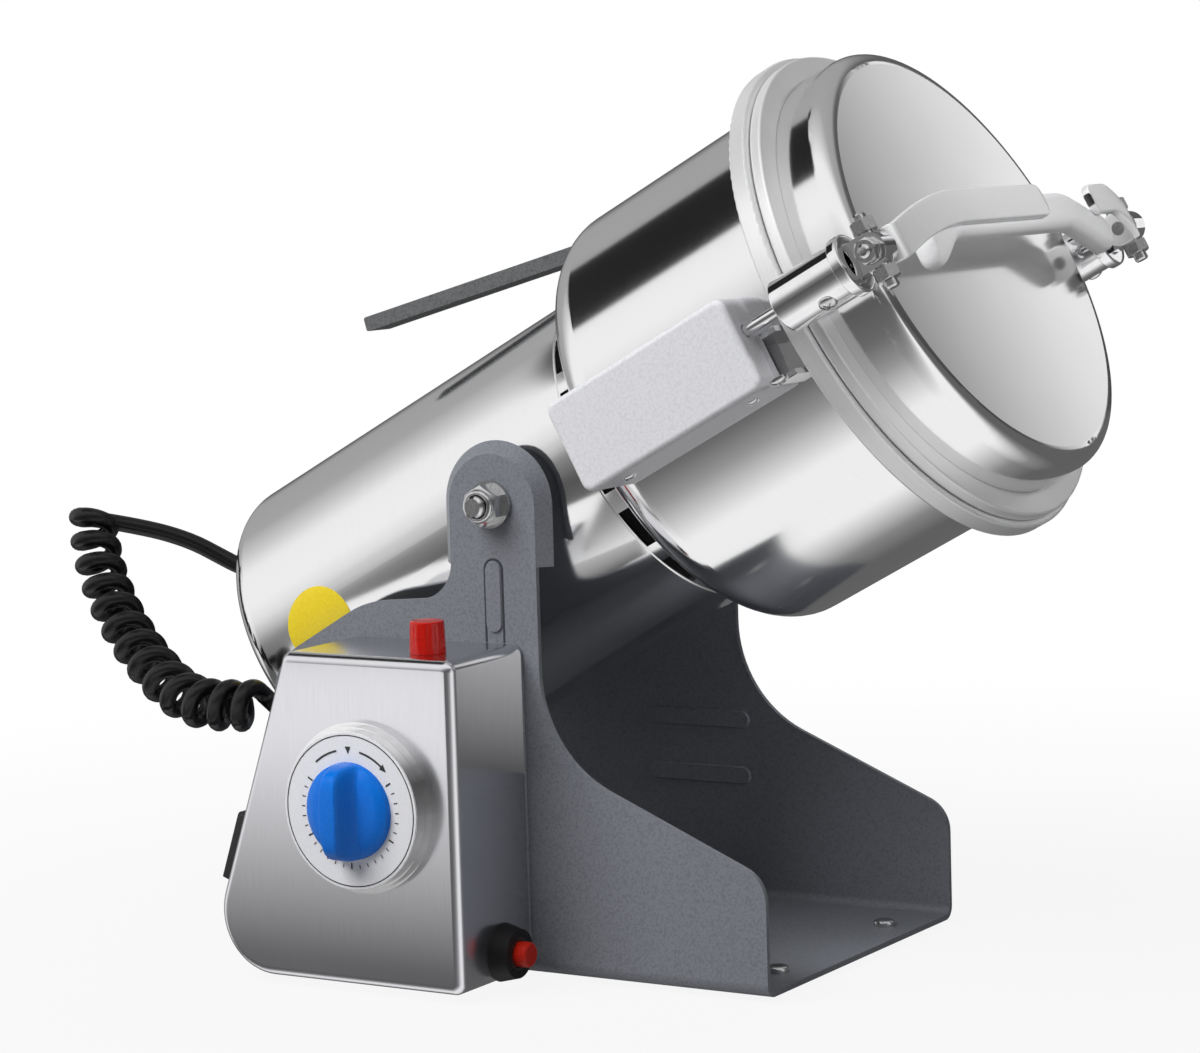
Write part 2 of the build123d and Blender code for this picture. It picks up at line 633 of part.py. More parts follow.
KNOB_SEAT = DIAL_SEAT + DIAL_THICKNESS + RUNNING_GAP
with BuildPart() as timer_knob:
    knob_foot = BOX_FACE.offset(KNOB_SEAT)
    extrude(disc(KNOB_RADIUS, knob_foot, TIMER_PLACE), amount=KNOB_BASE_HEIGHT, taper=KNOB_TAPER)
    with BuildSketch(knob_foot.offset(KNOB_BASE_HEIGHT)):
        with Locations(TIMER_PLACE):
            Circle(KNOB_RADIUS - KNOB_BASE_HEIGHT * tan(radians(KNOB_TAPER)))
            Rectangle(KNOB_GRIP_WIDTH, 2 * KNOB_RADIUS, mode=Mode.INTERSECT)
    extrude(amount=KNOB_HEIGHT - KNOB_BASE_HEIGHT, taper=KNOB_TAPER)
    extrude(disc(TIMER_SHAFT / 2, knob_foot, TIMER_PLACE), amount=-KNOB_SEAT - TIMER_SHAFT_DEPTH)
keep(timer_knob, "timer_knob")

# Indicator lamp on the box top
with BuildPart() as indicator_lamp:
    extrude(disc(LAMP_RADIUS, LAMP_PLANE, (LAMP_X, LAMP_Y)), amount=LAMP_HEIGHT, taper=LAMP_TAPER)
    fillet(indicator_lamp.edges().group_by(Axis.Z)[-1], LAMP_ROUNDING)
    extrude(disc(LAMP_STEM_RADIUS - SHAFT_FIT, LAMP_PLANE, (LAMP_X, LAMP_Y)), amount=-LAMP_STEM)
keep(indicator_lamp, "indicator_lamp")

# Circuit breaker with its rubber boot and reset button
BREAKER_PLACE = (BREAKER_Y, BREAKER_Z)
BUTTON_BORE = BUTTON_RADIUS + RUNNING_GAP
with BuildPart() as breaker_body:
    behind_wall = BREAKER_PLANE.offset(-BOX_WALL)
    extrude(block(BREAKER_BODY, BREAKER_BODY, behind_wall, BREAKER_PLACE), amount=-BREAKER_DEPTH)
    extrude(disc(BREAKER_NECK - SHAFT_FIT, behind_wall, BREAKER_PLACE), amount=BOX_WALL + BOOT_HEIGHT)
    extrude(
        disc(BUTTON_BORE, BREAKER_PLANE.offset(BOOT_HEIGHT), BREAKER_PLACE),
        amount=-BOOT_HEIGHT - BUTTON_DEPTH - BUTTON_TRAVEL - RUNNING_GAP, mode=Mode.SUBTRACT,
    )
keep(breaker_body, "breaker_body")

with BuildPart() as breaker_boot:
    extrude(disc(BOOT_RADIUS, BREAKER_PLANE, BREAKER_PLACE), amount=BOOT_HEIGHT, taper=BOOT_TAPER)
    extrude(disc(BREAKER_NECK, BREAKER_PLANE, BREAKER_PLACE), amount=BOOT_HEIGHT, mode=Mode.SUBTRACT)
keep(breaker_boot, "breaker_boot")

with BuildPart() as reset_button:
    extrude(
        disc(BUTTON_RADIUS, BREAKER_PLANE.offset(-BUTTON_DEPTH), BREAKER_PLACE),
        amount=BUTTON_DEPTH + BOOT_HEIGHT + BUTTON_PROUD,
    )
    fillet(reset_button.edges().group_by(Axis.X)[-1], BUTTON_ROUNDING)
keep(reset_button, "reset_button")

# Rocker switch on the slanted face
ROCKER_SIDE = Plane(ROCKER_PLANE.origin, x_dir=ROCKER_PLANE.x_dir, z_dir=(0, -1, 0))
ROCKER_BORE_LENGTH = ROCKER_LENGTH - 2 * ROCKER_FRAME
ROCKER_BORE_WIDTH = ROCKER_WIDTH - 2 * ROCKER_FRAME
PADDLE_RADIUS = ROCKER_BORE_LENGTH / 2 - RUNNING_GAP
with BuildPart() as rocker_frame:
    extrude(block(ROCKER_LENGTH, ROCKER_WIDTH, ROCKER_PLANE, rounding=ROCKER_ROUNDING), amount=ROCKER_FLANGE)
    extrude(
        block(ROCKER_BODY_LENGTH - SHAFT_FIT, ROCKER_BODY_WIDTH - SHAFT_FIT, ROCKER_PLANE),
        amount=-ROCKER_DEPTH,
    )
    extrude(
        block(ROCKER_BORE_LENGTH, ROCKER_BORE_WIDTH, ROCKER_PLANE.offset(ROCKER_FLANGE)),
        amount=-ROCKER_FLANGE - 2 * PADDLE_DEPTH, mode=Mode.SUBTRACT,
    )
keep(rocker_frame, "rocker_frame")

PADDLE_TOP = ROCKER_FLANGE + ROCKER_PROUD
with BuildPart() as rocker_paddle:
    with BuildSketch(ROCKER_SIDE):
        Circle(PADDLE_RADIUS)
        with Locations((0, (PADDLE_TOP - PADDLE_DEPTH) / 2)):
            Rectangle(2 * PADDLE_RADIUS, PADDLE_TOP + PADDLE_DEPTH, mode=Mode.INTERSECT)
    extrude(amount=ROCKER_BORE_WIDTH / 2 - RUNNING_GAP, both=True)
keep(rocker_paddle, "rocker_paddle")

# Motor barrel, closed at the rear
GLAND_BASE = head_point(BARREL_REAR, GLAND_RISE, -GLAND_SIDE)
with BuildPart() as motor_barrel:
    barrel_section = outline(
        (0, BARREL_REAR), (BARREL_RADIUS, BARREL_REAR, BARREL_ROUNDING), (BARREL_RADIUS, COLLAR_START),
        (BARREL_BORE, COLLAR_START),
        (BARREL_BORE, BARREL_REAR + BARREL_WALL, BARREL_ROUNDING - BARREL_WALL),
        (0, BARREL_REAR + BARREL_WALL),
    )
    revolve(barrel_section, axis=HEAD_AXIS)
    extrude(disc(STUD / 2, FRONT, (0, PIVOT_HEIGHT)), amount=BASE_WIDTH, both=True, mode=Mode.SUBTRACT)
keep(motor_barrel, "motor_barrel")

# Pivot bosses, studs, washers and nuts
PIVOT_PLACE = (0, PIVOT_HEIGHT)
BOSS_FACE = INNER_HALF - RUNNING_GAP
WASHER_FACE = HALF_WIDTH + RUNNING_GAP
NUT_FACE = WASHER_FACE + WASHER_THICKNESS
COLLAR_FACE = NUT_FACE + NUT_HEIGHT
STUD_END = COLLAR_FACE + NUT_COLLAR_HEIGHT + STUD_PROUD
with BuildPart() as barrel_core:
    revolve(ring_face(0, BARREL_RADIUS, BARREL_REAR, COLLAR_START - BARREL_REAR), axis=HEAD_AXIS)

with BuildPart() as pivot_bosses:
    boss_ring = disc(BOSS_DIAMETER / 2, FRONT.offset(BARREL_BORE), PIVOT_PLACE, hole=STUD / 2)
    extrude(boss_ring, amount=BOSS_FACE - BARREL_BORE)
    add(barrel_core.part, mode=Mode.SUBTRACT)
    mirror(about=Plane.XZ)
keep(pivot_bosses, "pivot_bosses")

with BuildPart() as pivot_studs:
    STUD_SEAT = sqrt(BARREL_BORE**2 - STUD_HEAD_RADIUS**2)
    extrude(disc(STUD_HEAD_RADIUS, FRONT.offset(STUD_SEAT), PIVOT_PLACE), amount=-STUD_HEAD_HEIGHT)
    extrude(disc(STUD / 2, FRONT.offset(STUD_SEAT), PIVOT_PLACE), amount=STUD_END - STUD_SEAT)
    chamfer(pivot_studs.edges().group_by(Axis.Y)[0], STUD_CHAMFER)
    mirror(about=Plane.XZ)
keep(pivot_studs, "pivot_studs")

with BuildPart() as pivot_washers:
    washer = disc(WASHER_DIAMETER / 2, FRONT.offset(WASHER_FACE), PIVOT_PLACE, hole=STUD / 2)
    extrude(washer, amount=WASHER_THICKNESS)
    mirror(about=Plane.XZ)
keep(pivot_washers, "pivot_washers")

with BuildPart() as pivot_nuts:
    with BuildSketch(FRONT.offset(NUT_FACE)):
        with Locations(PIVOT_PLACE):
            RegularPolygon(NUT_ACROSS_FLATS / 2, 6, major_radius=False)
            Circle(STUD / 2, mode=Mode.SUBTRACT)
    extrude(amount=NUT_HEIGHT)
    collar_ring = disc(NUT_COLLAR / 2, FRONT.offset(COLLAR_FACE), PIVOT_PLACE, hole=STUD / 2)
    extrude(collar_ring, amount=NUT_COLLAR_HEIGHT)
    mirror(about=Plane.XZ)
keep(pivot_nuts, "pivot_nuts")

# Strain relief on the barrel's rear, angled upwards
GLAND_RAISED = AXIS_DIR * -cos(radians(GLAND_LIFT)) + RISE_DIR * sin(radians(GLAND_LIFT))
GLAND_DIR = GLAND_RAISED * cos(radians(GLAND_SWING)) + Vector(0, -sin(radians(GLAND_SWING)), 0)
GLAND_PLANE = Plane(GLAND_BASE, z_dir=GLAND_DIR)
GLAND_TAPER = degrees(atan2(GLAND_RADIUS - GLAND_TIP_RADIUS, GLAND_LENGTH))
REAR_PLANE = Plane(GLAND_BASE, x_dir=(0, 1, 0), z_dir=AXIS_DIR * -1)
with BuildPart() as barrel_gland:
    extrude(disc(GLAND_RADIUS, GLAND_PLANE), amount=GLAND_LENGTH, taper=GLAND_TAPER)
    extrude(disc(GLAND_RADIUS, GLAND_PLANE), amount=-GLAND_RADIUS)
    extrude(disc(GLAND_FLANGE_RADIUS, REAR_PLANE), amount=GLAND_FLANGE)
    split(bisect_by=REAR_PLANE, keep=Keep.TOP)
keep(barrel_gland, "barrel_gland")

# Bearing plates and bearings
with BuildPart() as rear_bearing_plate:
    plate_section = outline(
        (BEARING_RADIUS, REAR_PLATE), (BARREL_BORE, REAR_PLATE),
        (BARREL_BORE, REAR_PLATE + PLATE_THICKNESS),
        (BEARING_RADIUS + PLATE_HUB_WALL, REAR_PLATE + PLATE_THICKNESS),
        (BEARING_RADIUS + PLATE_HUB_WALL, REAR_PLATE + BEARING_WIDTH),
        (BEARING_RADIUS, REAR_PLATE + BEARING_WIDTH),
    )
    revolve(plate_section, axis=HEAD_AXIS)
keep(rear_bearing_plate, "rear_bearing_plate")

FRONT_HUB = FRONT_PLATE + PLATE_THICKNESS - BEARING_WIDTH
with BuildPart() as front_bearing_plate:
    plate_section = outline(
        (BEARING_RADIUS, FRONT_HUB), (BEARING_RADIUS + PLATE_HUB_WALL, FRONT_HUB),
        (BEARING_RADIUS + PLATE_HUB_WALL, FRONT_PLATE), (BARREL_BORE, FRONT_PLATE),
        (BARREL_BORE, FRONT_PLATE + PLATE_THICKNESS), (BEARING_RADIUS, FRONT_PLATE + PLATE_THICKNESS),
    )
    revolve(plate_section, axis=HEAD_AXIS)
keep(front_bearing_plate, "front_bearing_plate")

with BuildPart() as bearings:
    for bearing_start in (REAR_PLATE, FRONT_HUB):
        bearing_face = ring_face(SHAFT_RADIUS + SHAFT_FIT, BEARING_RADIUS, bearing_start, BEARING_WIDTH)
        revolve(bearing_face, axis=HEAD_AXIS)
keep(bearings, "bearings")

# Stator, field coils and brush gear
STATOR_END = STATOR_START + STATOR_LENGTH
with BuildPart() as stator_core:
    revolve(ring_face(STATOR_BORE, BARREL_BORE, STATOR_START, STATOR_LENGTH), axis=HEAD_AXIS)
keep(stator_core, "stator_core")

with BuildPart() as field_coils:
    for coil_start in (STATOR_START - COIL_LENGTH, STATOR_END):
        revolve(ring_face(COIL_BORE, COIL_RADIUS, coil_start, COIL_LENGTH), axis=HEAD_AXIS)
keep(field_coils, "field_coils")

BRUSH_MIDDLE = COMMUTATOR_START + BRUSH_WIDTH
BRUSH_TIP = COMMUTATOR_RADIUS + RUNNING_GAP
HOLDER_START = REAR_PLATE + PLATE_THICKNESS
HOLDER_END = BRUSH_MIDDLE + BRUSH_WIDTH / 2 + HOLDER_END_WALL
HOLDER_INNER = BEARING_RADIUS + PLATE_HUB_WALL + HOLDER_HUB_GAP
HOLDER_OUTER = COIL_RADIUS
HOLDER_WIDTH = BRUSH_WIDTH + 2 * HOLDER_SIDE_WALL
with BuildPart() as brush_holders:
    with BuildSketch(ACROSS.offset(HOLDER_START)):
        with Locations(((HOLDER_INNER + HOLDER_OUTER) / 2, 0)):
            Rectangle(HOLDER_OUTER - HOLDER_INNER, HOLDER_WIDTH)
    extrude(amount=HOLDER_END - HOLDER_START)
    with BuildSketch(ACROSS.offset(BRUSH_MIDDLE - BRUSH_WIDTH / 2)):
        with Locations(((BRUSH_TIP + HOLDER_OUTER) / 2, 0)):
            Rectangle(HOLDER_OUTER - BRUSH_TIP, BRUSH_WIDTH)
    extrude(amount=BRUSH_WIDTH)
    mirror(about=Plane(PIVOT, x_dir=AXIS_DIR, z_dir=RISE_DIR))
keep(brush_holders, "brush_holders")

# Rotor: shaft, armature, commutator and fan
SEAL_START = BOWL_BOTTOM + BOWL_WALL - SEAL_HEIGHT / 2
SEAL_END = SEAL_START + SEAL_HEIGHT
BLADE_PLACES = [BLADE_FIRST + number * BLADE_PITCH for number in range(3)]
BLADE_NUT_START = BLADE_PLACES[-1] + BLADE_THICKNESS
SHAFT_END = BLADE_NUT_START + BLADE_NUT_HEIGHT - BLADE_NUT_CAP

with BuildPart() as motor_shaft:
    revolve(ring_face(0, SHAFT_RADIUS, SHAFT_REAR, SHAFT_END - SHAFT_REAR), axis=HEAD_AXIS)
keep(motor_shaft, "motor_shaft")

with BuildPart() as armature:
    armature_face = ring_face(SHAFT_RADIUS, STATOR_BORE - ARMATURE_GAP, STATOR_START, STATOR_LENGTH)
    revolve(armature_face, axis=HEAD_AXIS)
keep(armature, "armature")

with BuildPart() as commutator:
    revolve(ring_face(SHAFT_RADIUS, COMMUTATOR_RADIUS, COMMUTATOR_START, COMMUTATOR_LENGTH), axis=HEAD_AXIS)
keep(commutator, "commutator")

with BuildPart() as cooling_fan:
    revolve(ring_face(SHAFT_RADIUS, FAN_RADIUS, FAN_START, FAN_DISC), axis=HEAD_AXIS)
    revolve(ring_face(SHAFT_RADIUS, FAN_HUB_RADIUS, FAN_START, FAN_HUB_HEIGHT), axis=HEAD_AXIS)
    with BuildSketch(ACROSS.offset(FAN_START + FAN_DISC)):
        with PolarLocations((FAN_BLADE_INNER + FAN_BLADE_OUTER) / 2, FAN_BLADES):
            Rectangle(FAN_BLADE_OUTER - FAN_BLADE_INNER, FAN_BLADE_THICKNESS)
    extrude(amount=FAN_BLADE_HEIGHT)
keep(cooling_fan, "cooling_fan")

# Cutting blades, spacers and nut
BLADE_NAMES = ["lower_blade", "middle_blade", "upper_blade"]
for number, blade_name in enumerate(BLADE_NAMES):
    with BuildPart() as blade:
        with BuildSketch(ACROSS.offset(BLADE_PLACES[number])):
            with BuildLine(Rot(0, 0, number * 180 / len(BLADE_NAMES))):
                FilletPolyline(
                    (BLADE_LENGTH / 2, -BLADE_TIP_WIDTH / 2), (BLADE_LENGTH / 2, BLADE_TIP_WIDTH / 2),
                    (0, BLADE_WIDTH / 2), (-BLADE_LENGTH / 2, BLADE_TIP_WIDTH / 2),
                    (-BLADE_LENGTH / 2, -BLADE_TIP_WIDTH / 2), (0, -BLADE_WIDTH / 2),
                    radius=BLADE_CORNER, close=True,
                )
            make_face()
            Circle(SHAFT_RADIUS, mode=Mode.SUBTRACT)
        extrude(amount=BLADE_THICKNESS)
    keep(blade, blade_name)

with BuildPart() as blade_spacers:
    spacer_starts = [SEAL_END + RUNNING_GAP] + [place + BLADE_THICKNESS for place in BLADE_PLACES[:-1]]
    for spacer_start, spacer_end in zip(spacer_starts, BLADE_PLACES):
        spacer_face = ring_face(SHAFT_RADIUS, SPACER_RADIUS, spacer_start, spacer_end - spacer_start)
        revolve(spacer_face, axis=HEAD_AXIS)
keep(blade_spacers, "blade_spacers")

with BuildPart() as blade_nut:
    with BuildSketch(ACROSS.offset(BLADE_NUT_START)):
        RegularPolygon(BLADE_NUT_ACROSS / 2, 6, major_radius=False)
    extrude(amount=BLADE_NUT_HEIGHT)
    nut_bore = ring_face(0, SHAFT_RADIUS, BLADE_NUT_START, SHAFT_END - BLADE_NUT_START)
    revolve(nut_bore, axis=HEAD_AXIS, mode=Mode.SUBTRACT)
keep(blade_nut, "blade_nut")

# Vent collar between barrel and bowl
with BuildPart() as vent_collar:
    collar_face = ring_face(
        COLLAR_RADIUS - COLLAR_WALL, COLLAR_RADIUS, COLLAR_START, BOWL_BOTTOM - COLLAR_START
    )
    revolve(collar_face, axis=HEAD_AXIS)
    vent_face = ring_face(
        COLLAR_RADIUS - 2 * COLLAR_WALL, COLLAR_RADIUS + COLLAR_WALL, COLLAR_START + VENT_START, VENT_LENGTH
    )
    for number in range(VENT_COUNT):
        turned_face = vent_face.rotate(HEAD_AXIS, number * 360 / VENT_COUNT)
        revolve(turned_face, axis=HEAD_AXIS, revolution_arc=VENT_ARC, mode=Mode.SUBTRACT)
keep(vent_collar, "vent_collar")

# Bowl, its ring and the shaft seal
BOWL_BORE = BOWL_RADIUS - BOWL_WALL
with BuildPart() as bowl:
    bowl_section = outline(
        (SEAL_RADIUS, BOWL_BOTTOM), (BOWL_RADIUS, BOWL_BOTTOM, BOWL_SHOULDER), (BOWL_RADIUS, BOWL_RIM),
        (BOWL_BORE, BOWL_RIM), (BOWL_BORE, BOWL_BOTTOM + BOWL_WALL, BOWL_SHOULDER - BOWL_WALL),
        (SEAL_RADIUS, BOWL_BOTTOM + BOWL_WALL),
    )
    revolve(bowl_section, axis=HEAD_AXIS)
keep(bowl, "bowl")

with BuildPart() as bowl_core:
    bowl_filled = outline(
        (0, BOWL_BOTTOM), (BOWL_RADIUS, BOWL_BOTTOM, BOWL_SHOULDER), (BOWL_RADIUS, BOWL_RIM), (0, BOWL_RIM)
    )
    revolve(bowl_filled, axis=HEAD_AXIS)

with BuildPart() as bowl_ring:
    ring_section = outline(
        (BOWL_RADIUS, BOWL_RIM - RING_HEIGHT), (RING_RADIUS, BOWL_RIM - RING_HEIGHT, RING_EDGE),
        (RING_RADIUS, BOWL_RIM, RING_EDGE), (BOWL_RADIUS, BOWL_RIM),
    )
    revolve(ring_section, axis=HEAD_AXIS)
keep(bowl_ring, "bowl_ring")

with BuildPart() as shaft_seal:
    revolve(ring_face(SHAFT_RADIUS + SHAFT_FIT, SEAL_RADIUS, SEAL_START, SEAL_HEIGHT), axis=HEAD_AXIS)
keep(shaft_seal, "shaft_seal")

# Interlock switch housing, its switch and the chrome lug
HOUSING_END = HOUSING_START + HOUSING_LENGTH
HOUSING_MIDDLE = (HOUSING_START + HOUSING_LENGTH / 2, HOUSING_OFFSET)
HOUSING_BACK = BARREL_RADIUS
with BuildPart() as switch_housing:
    behind_bowl = NEAR_SIDE.offset(HOUSING_BACK)
    extrude(
        block(HOUSING_LENGTH, HOUSING_WIDTH, behind_bowl, HOUSING_MIDDLE, rounding=HOUSING_ROUNDING),
        amount=HOUSING_FACE - HOUSING_BACK,
    )
    fillet(switch_housing.faces().sort_by(Axis.Y)[0].edges(), HOUSING_EDGE)
    hollow = (HOUSING_LENGTH - 2 * HOUSING_WALL, HOUSING_WIDTH - 2 * HOUSING_WALL)
    extrude(
        block(*hollow, behind_bowl, HOUSING_MIDDLE),
        amount=HOUSING_FACE - HOUSING_WALL - HOUSING_BACK, mode=Mode.SUBTRACT,
    )
    add(bowl_core.part, mode=Mode.SUBTRACT)
    housing_rear = block(2 * HOUSING_LENGTH, 2 * HOUSING_WIDTH, behind_bowl, HOUSING_MIDDLE)
    extrude(housing_rear, amount=HOUSING_FLOOR - HOUSING_BACK, mode=Mode.SUBTRACT)
    extrude(
        disc(PIN_DIAMETER / 2 + RUNNING_GAP, ACROSS.offset(HOUSING_END), (LATCH_RISE, SLEEVE_REACH)),
        amount=-2 * HOUSING_WALL, mode=Mode.SUBTRACT,
    )
keep(switch_housing, "switch_housing")

PIN_BOTTOM = HOUSING_END - PIN_ENGAGE
SWITCH_MIDDLE = (PIN_BOTTOM - RUNNING_GAP - SWITCH_LENGTH / 2, LATCH_RISE)
with BuildPart() as microswitch:
    extrude(
        block(SWITCH_LENGTH, SWITCH_WIDTH, NEAR_SIDE.offset(HOUSING_FACE - HOUSING_WALL), SWITCH_MIDDLE),
        amount=-SWITCH_DEPTH,
    )
keep(microswitch, "microswitch")

LUG_MIDDLE = (HOUSING_END + LUG_LENGTH / 2, HOUSING_OFFSET - (HOUSING_WIDTH - LUG_WIDTH) / 2)
with BuildPart() as switch_lug:
    extrude(
        block(LUG_LENGTH, LUG_WIDTH, NEAR_SIDE.offset(HOUSING_BACK), LUG_MIDDLE),
        amount=BOWL_RADIUS + LUG_HEIGHT - HOUSING_BACK,
    )
    extrude(
        block(LUG_LENGTH - LUG_WALL, LUG_WIDTH - 2 * LUG_WALL, NEAR_SIDE.offset(BOWL_RADIUS + LUG_WALL),
              (LUG_MIDDLE[0] + LUG_WALL / 2, LUG_MIDDLE[1])),
        amount=LUG_HEIGHT, mode=Mode.SUBTRACT,
    )
    add(bowl_core.part, mode=Mode.SUBTRACT)
keep(switch_lug, "switch_lug")

# Swing lever, coped to the bowl's shoulder
SHOULDER_CENTRE = BOWL_BOTTOM + BOWL_SHOULDER
FOOT_REACH = LEVER_FOOT_RADIUS - BOWL_RADIUS + BOWL_SHOULDER
LEVER_START = SHOULDER_CENTRE - sqrt(BOWL_SHOULDER**2 - FOOT_REACH**2)
LEVER_DIR = AXIS_DIR * -cos(radians(LEVER_ANGLE)) + RISE_DIR * sin(radians(LEVER_ANGLE))
LEVER_PLANE = Plane(head_point(LEVER_START, LEVER_FOOT_RADIUS), x_dir=LEVER_DIR, z_dir=(0, -1, 0))
with BuildPart() as swing_lever:
    with BuildSketch(LEVER_PLANE):
        with Locations((LEVER_LENGTH / 2 - LEVER_THICKNESS, 0)):
            Rectangle(LEVER_LENGTH, LEVER_THICKNESS)
    extrude(amount=LEVER_WIDTH / 2, both=True)
    lever_ends = swing_lever.faces().sort_by(Axis(LEVER_PLANE.origin, LEVER_DIR))[-1].edges()
    fillet(lever_ends, LEVER_ROUNDING)
    add(bowl_core.part, mode=Mode.SUBTRACT)
keep(swing_lever, "swing_lever")

# Lid and its seal
LID_BOTTOM = BOWL_RIM + RUNNING_GAP
LID_RIM_TOP = LID_BOTTOM + LID_RIM_HEIGHT
LID_BORE = BOWL_RADIUS - LID_WALL
with BuildPart() as lid_shell:
    lid_section = outline(
        (0, LID_TOP), (BOWL_RADIUS, LID_TOP, LID_ROUNDING), (BOWL_RADIUS, LID_RIM_TOP),
        (LID_RIM_RADIUS, LID_RIM_TOP, RING_EDGE), (LID_RIM_RADIUS, LID_BOTTOM, RING_EDGE),
        (LID_BORE, LID_BOTTOM),
        (LID_BORE, LID_TOP - LID_WALL, LID_ROUNDING - LID_WALL), (0, LID_TOP - LID_WALL),
    )
    revolve(lid_section, axis=HEAD_AXIS)
keep(lid_shell, "lid_shell")

SEAL_RING_RADIUS = min(LID_BORE, BOWL_BORE) - RUNNING_GAP
with BuildPart() as lid_seal:
    seal_face = ring_face(
        SEAL_RING_RADIUS - LID_SEAL_WALL, SEAL_RING_RADIUS, BOWL_RIM - LID_SEAL_DEPTH, 2 * LID_SEAL_DEPTH
    )
    revolve(seal_face, axis=HEAD_AXIS)
keep(lid_seal, "lid_seal")

with BuildPart() as lid_core:
    revolve(ring_face(0, BOWL_RADIUS, LID_BOTTOM, LID_TOP - LID_BOTTOM), axis=HEAD_AXIS)

# Sleeves on the lid's sides, with saddles and knuckles
SLEEVE_PLACES = [(LATCH_RISE, SLEEVE_REACH), (LATCH_RISE, -SLEEVE_REACH)]
with BuildPart() as lid_sleeves:
    sleeve_foot = ACROSS.offset(SLEEVE_BOTTOM)
    extrude(disc(SLEEVE_RADIUS, sleeve_foot, *SLEEVE_PLACES), amount=SLEEVE_TOP - SLEEVE_BOTTOM)
    extrude(
        disc(SLEEVE_RADIUS + SLEEVE_LIP, ACROSS.offset(SLEEVE_TOP - SLEEVE_LIP_HEIGHT), *SLEEVE_PLACES),
        amount=SLEEVE_LIP_HEIGHT,
    )
    extrude(
        disc(SLEEVE_BORE, ACROSS.offset(SLEEVE_BOTTOM + SLEEVE_FLOOR), *SLEEVE_PLACES),
        amount=SLEEVE_TOP - SLEEVE_BOTTOM, mode=Mode.SUBTRACT,
    )
    extrude(
        disc(PIN_DIAMETER / 2 + SHAFT_FIT, ACROSS.offset(SLEEVE_BOTTOM), *SLEEVE_PLACES),
        amount=SLEEVE_FLOOR, mode=Mode.SUBTRACT,
    )
keep(lid_sleeves, "lid_sleeves")

with BuildPart() as sleeve_saddles:
    with BuildSketch(ACROSS.offset(SADDLE_START)):
        for side in (-1, 1):
            with Locations((LATCH_RISE, side * (BOWL_BORE + SLEEVE_REACH) / 2)):
                Rectangle(SADDLE_WIDTH, SLEEVE_REACH - BOWL_BORE)
    extrude(amount=SADDLE_LENGTH)
    add(lid_core.part, mode=Mode.SUBTRACT)
    extrude(
        disc(SLEEVE_RADIUS, ACROSS.offset(SLEEVE_BOTTOM), *SLEEVE_PLACES),
        amount=SLEEVE_TOP - SLEEVE_BOTTOM, mode=Mode.SUBTRACT,
    )
keep(sleeve_saddles, "sleeve_saddles")

HINGE_PLACE = (HINGE_S, LATCH_RISE)
KNUCKLE_INNER = SLEEVE_REACH - KNUCKLE_WIDTH / 2
with BuildPart() as knuckles:
    with BuildSketch(NEAR_SIDE.offset(KNUCKLE_INNER)):
        with Locations(HINGE_PLACE):
            Circle(KNUCKLE_RADIUS)
        with Locations(((SLEEVE_TOP + HINGE_S) / 2, LATCH_RISE)):
            Rectangle(HINGE_S - SLEEVE_TOP, 2 * KNUCKLE_RADIUS)
        with Locations(HINGE_PLACE):
            Circle(HINGE_BOLT / 2, mode=Mode.SUBTRACT)
    extrude(amount=KNUCKLE_WIDTH)
    extrude(
        disc(PIN_DIAMETER / 2 + RUNNING_GAP, ACROSS.offset(SLEEVE_TOP), SLEEVE_PLACES[0]),
        amount=PIN_TOP + PIN_TRAVEL + RUNNING_GAP - SLEEVE_TOP, mode=Mode.SUBTRACT,
    )
    mirror(about=Plane.XZ)
keep(knuckles, "knuckles")

# Hinge bolts through the knuckles, with the arm ears on their tips
EAR_OUTER = KNUCKLE_INNER - RUNNING_GAP
EAR_INNER = EAR_OUTER - ARM_THICKNESS
BOLT_OUTER = SLEEVE_REACH + KNUCKLE_WIDTH / 2
with BuildPart() as hinge_bolts:
    extrude(disc(HINGE_BOLT / 2, NEAR_SIDE.offset(EAR_INNER), HINGE_PLACE), amount=BOLT_OUTER - EAR_INNER)
    extrude(disc(HINGE_HEAD / 2, NEAR_SIDE.offset(BOLT_OUTER), HINGE_PLACE), amount=HINGE_HEAD_HEIGHT)
    mirror(about=Plane.XZ)
keep(hinge_bolts, "hinge_bolts")

# Handle across the lid: arm, grip and far clip
BAND = Plane(PIVOT, x_dir=(0, -1, 0), z_dir=RISE_DIR)
ARM_BOTTOM = HINGE_S + ARM_HEIGHT
EAR_FOOT = HINGE_S - ARM_EAR_RADIUS
EAR_HOLE = HINGE_BOLT / 2 + SHAFT_FIT
CLIP_END = EAR_OUTER - CLIP_LENGTH
CLIP_BOW = EAR_OUTER - CLIP_LENGTH / 2


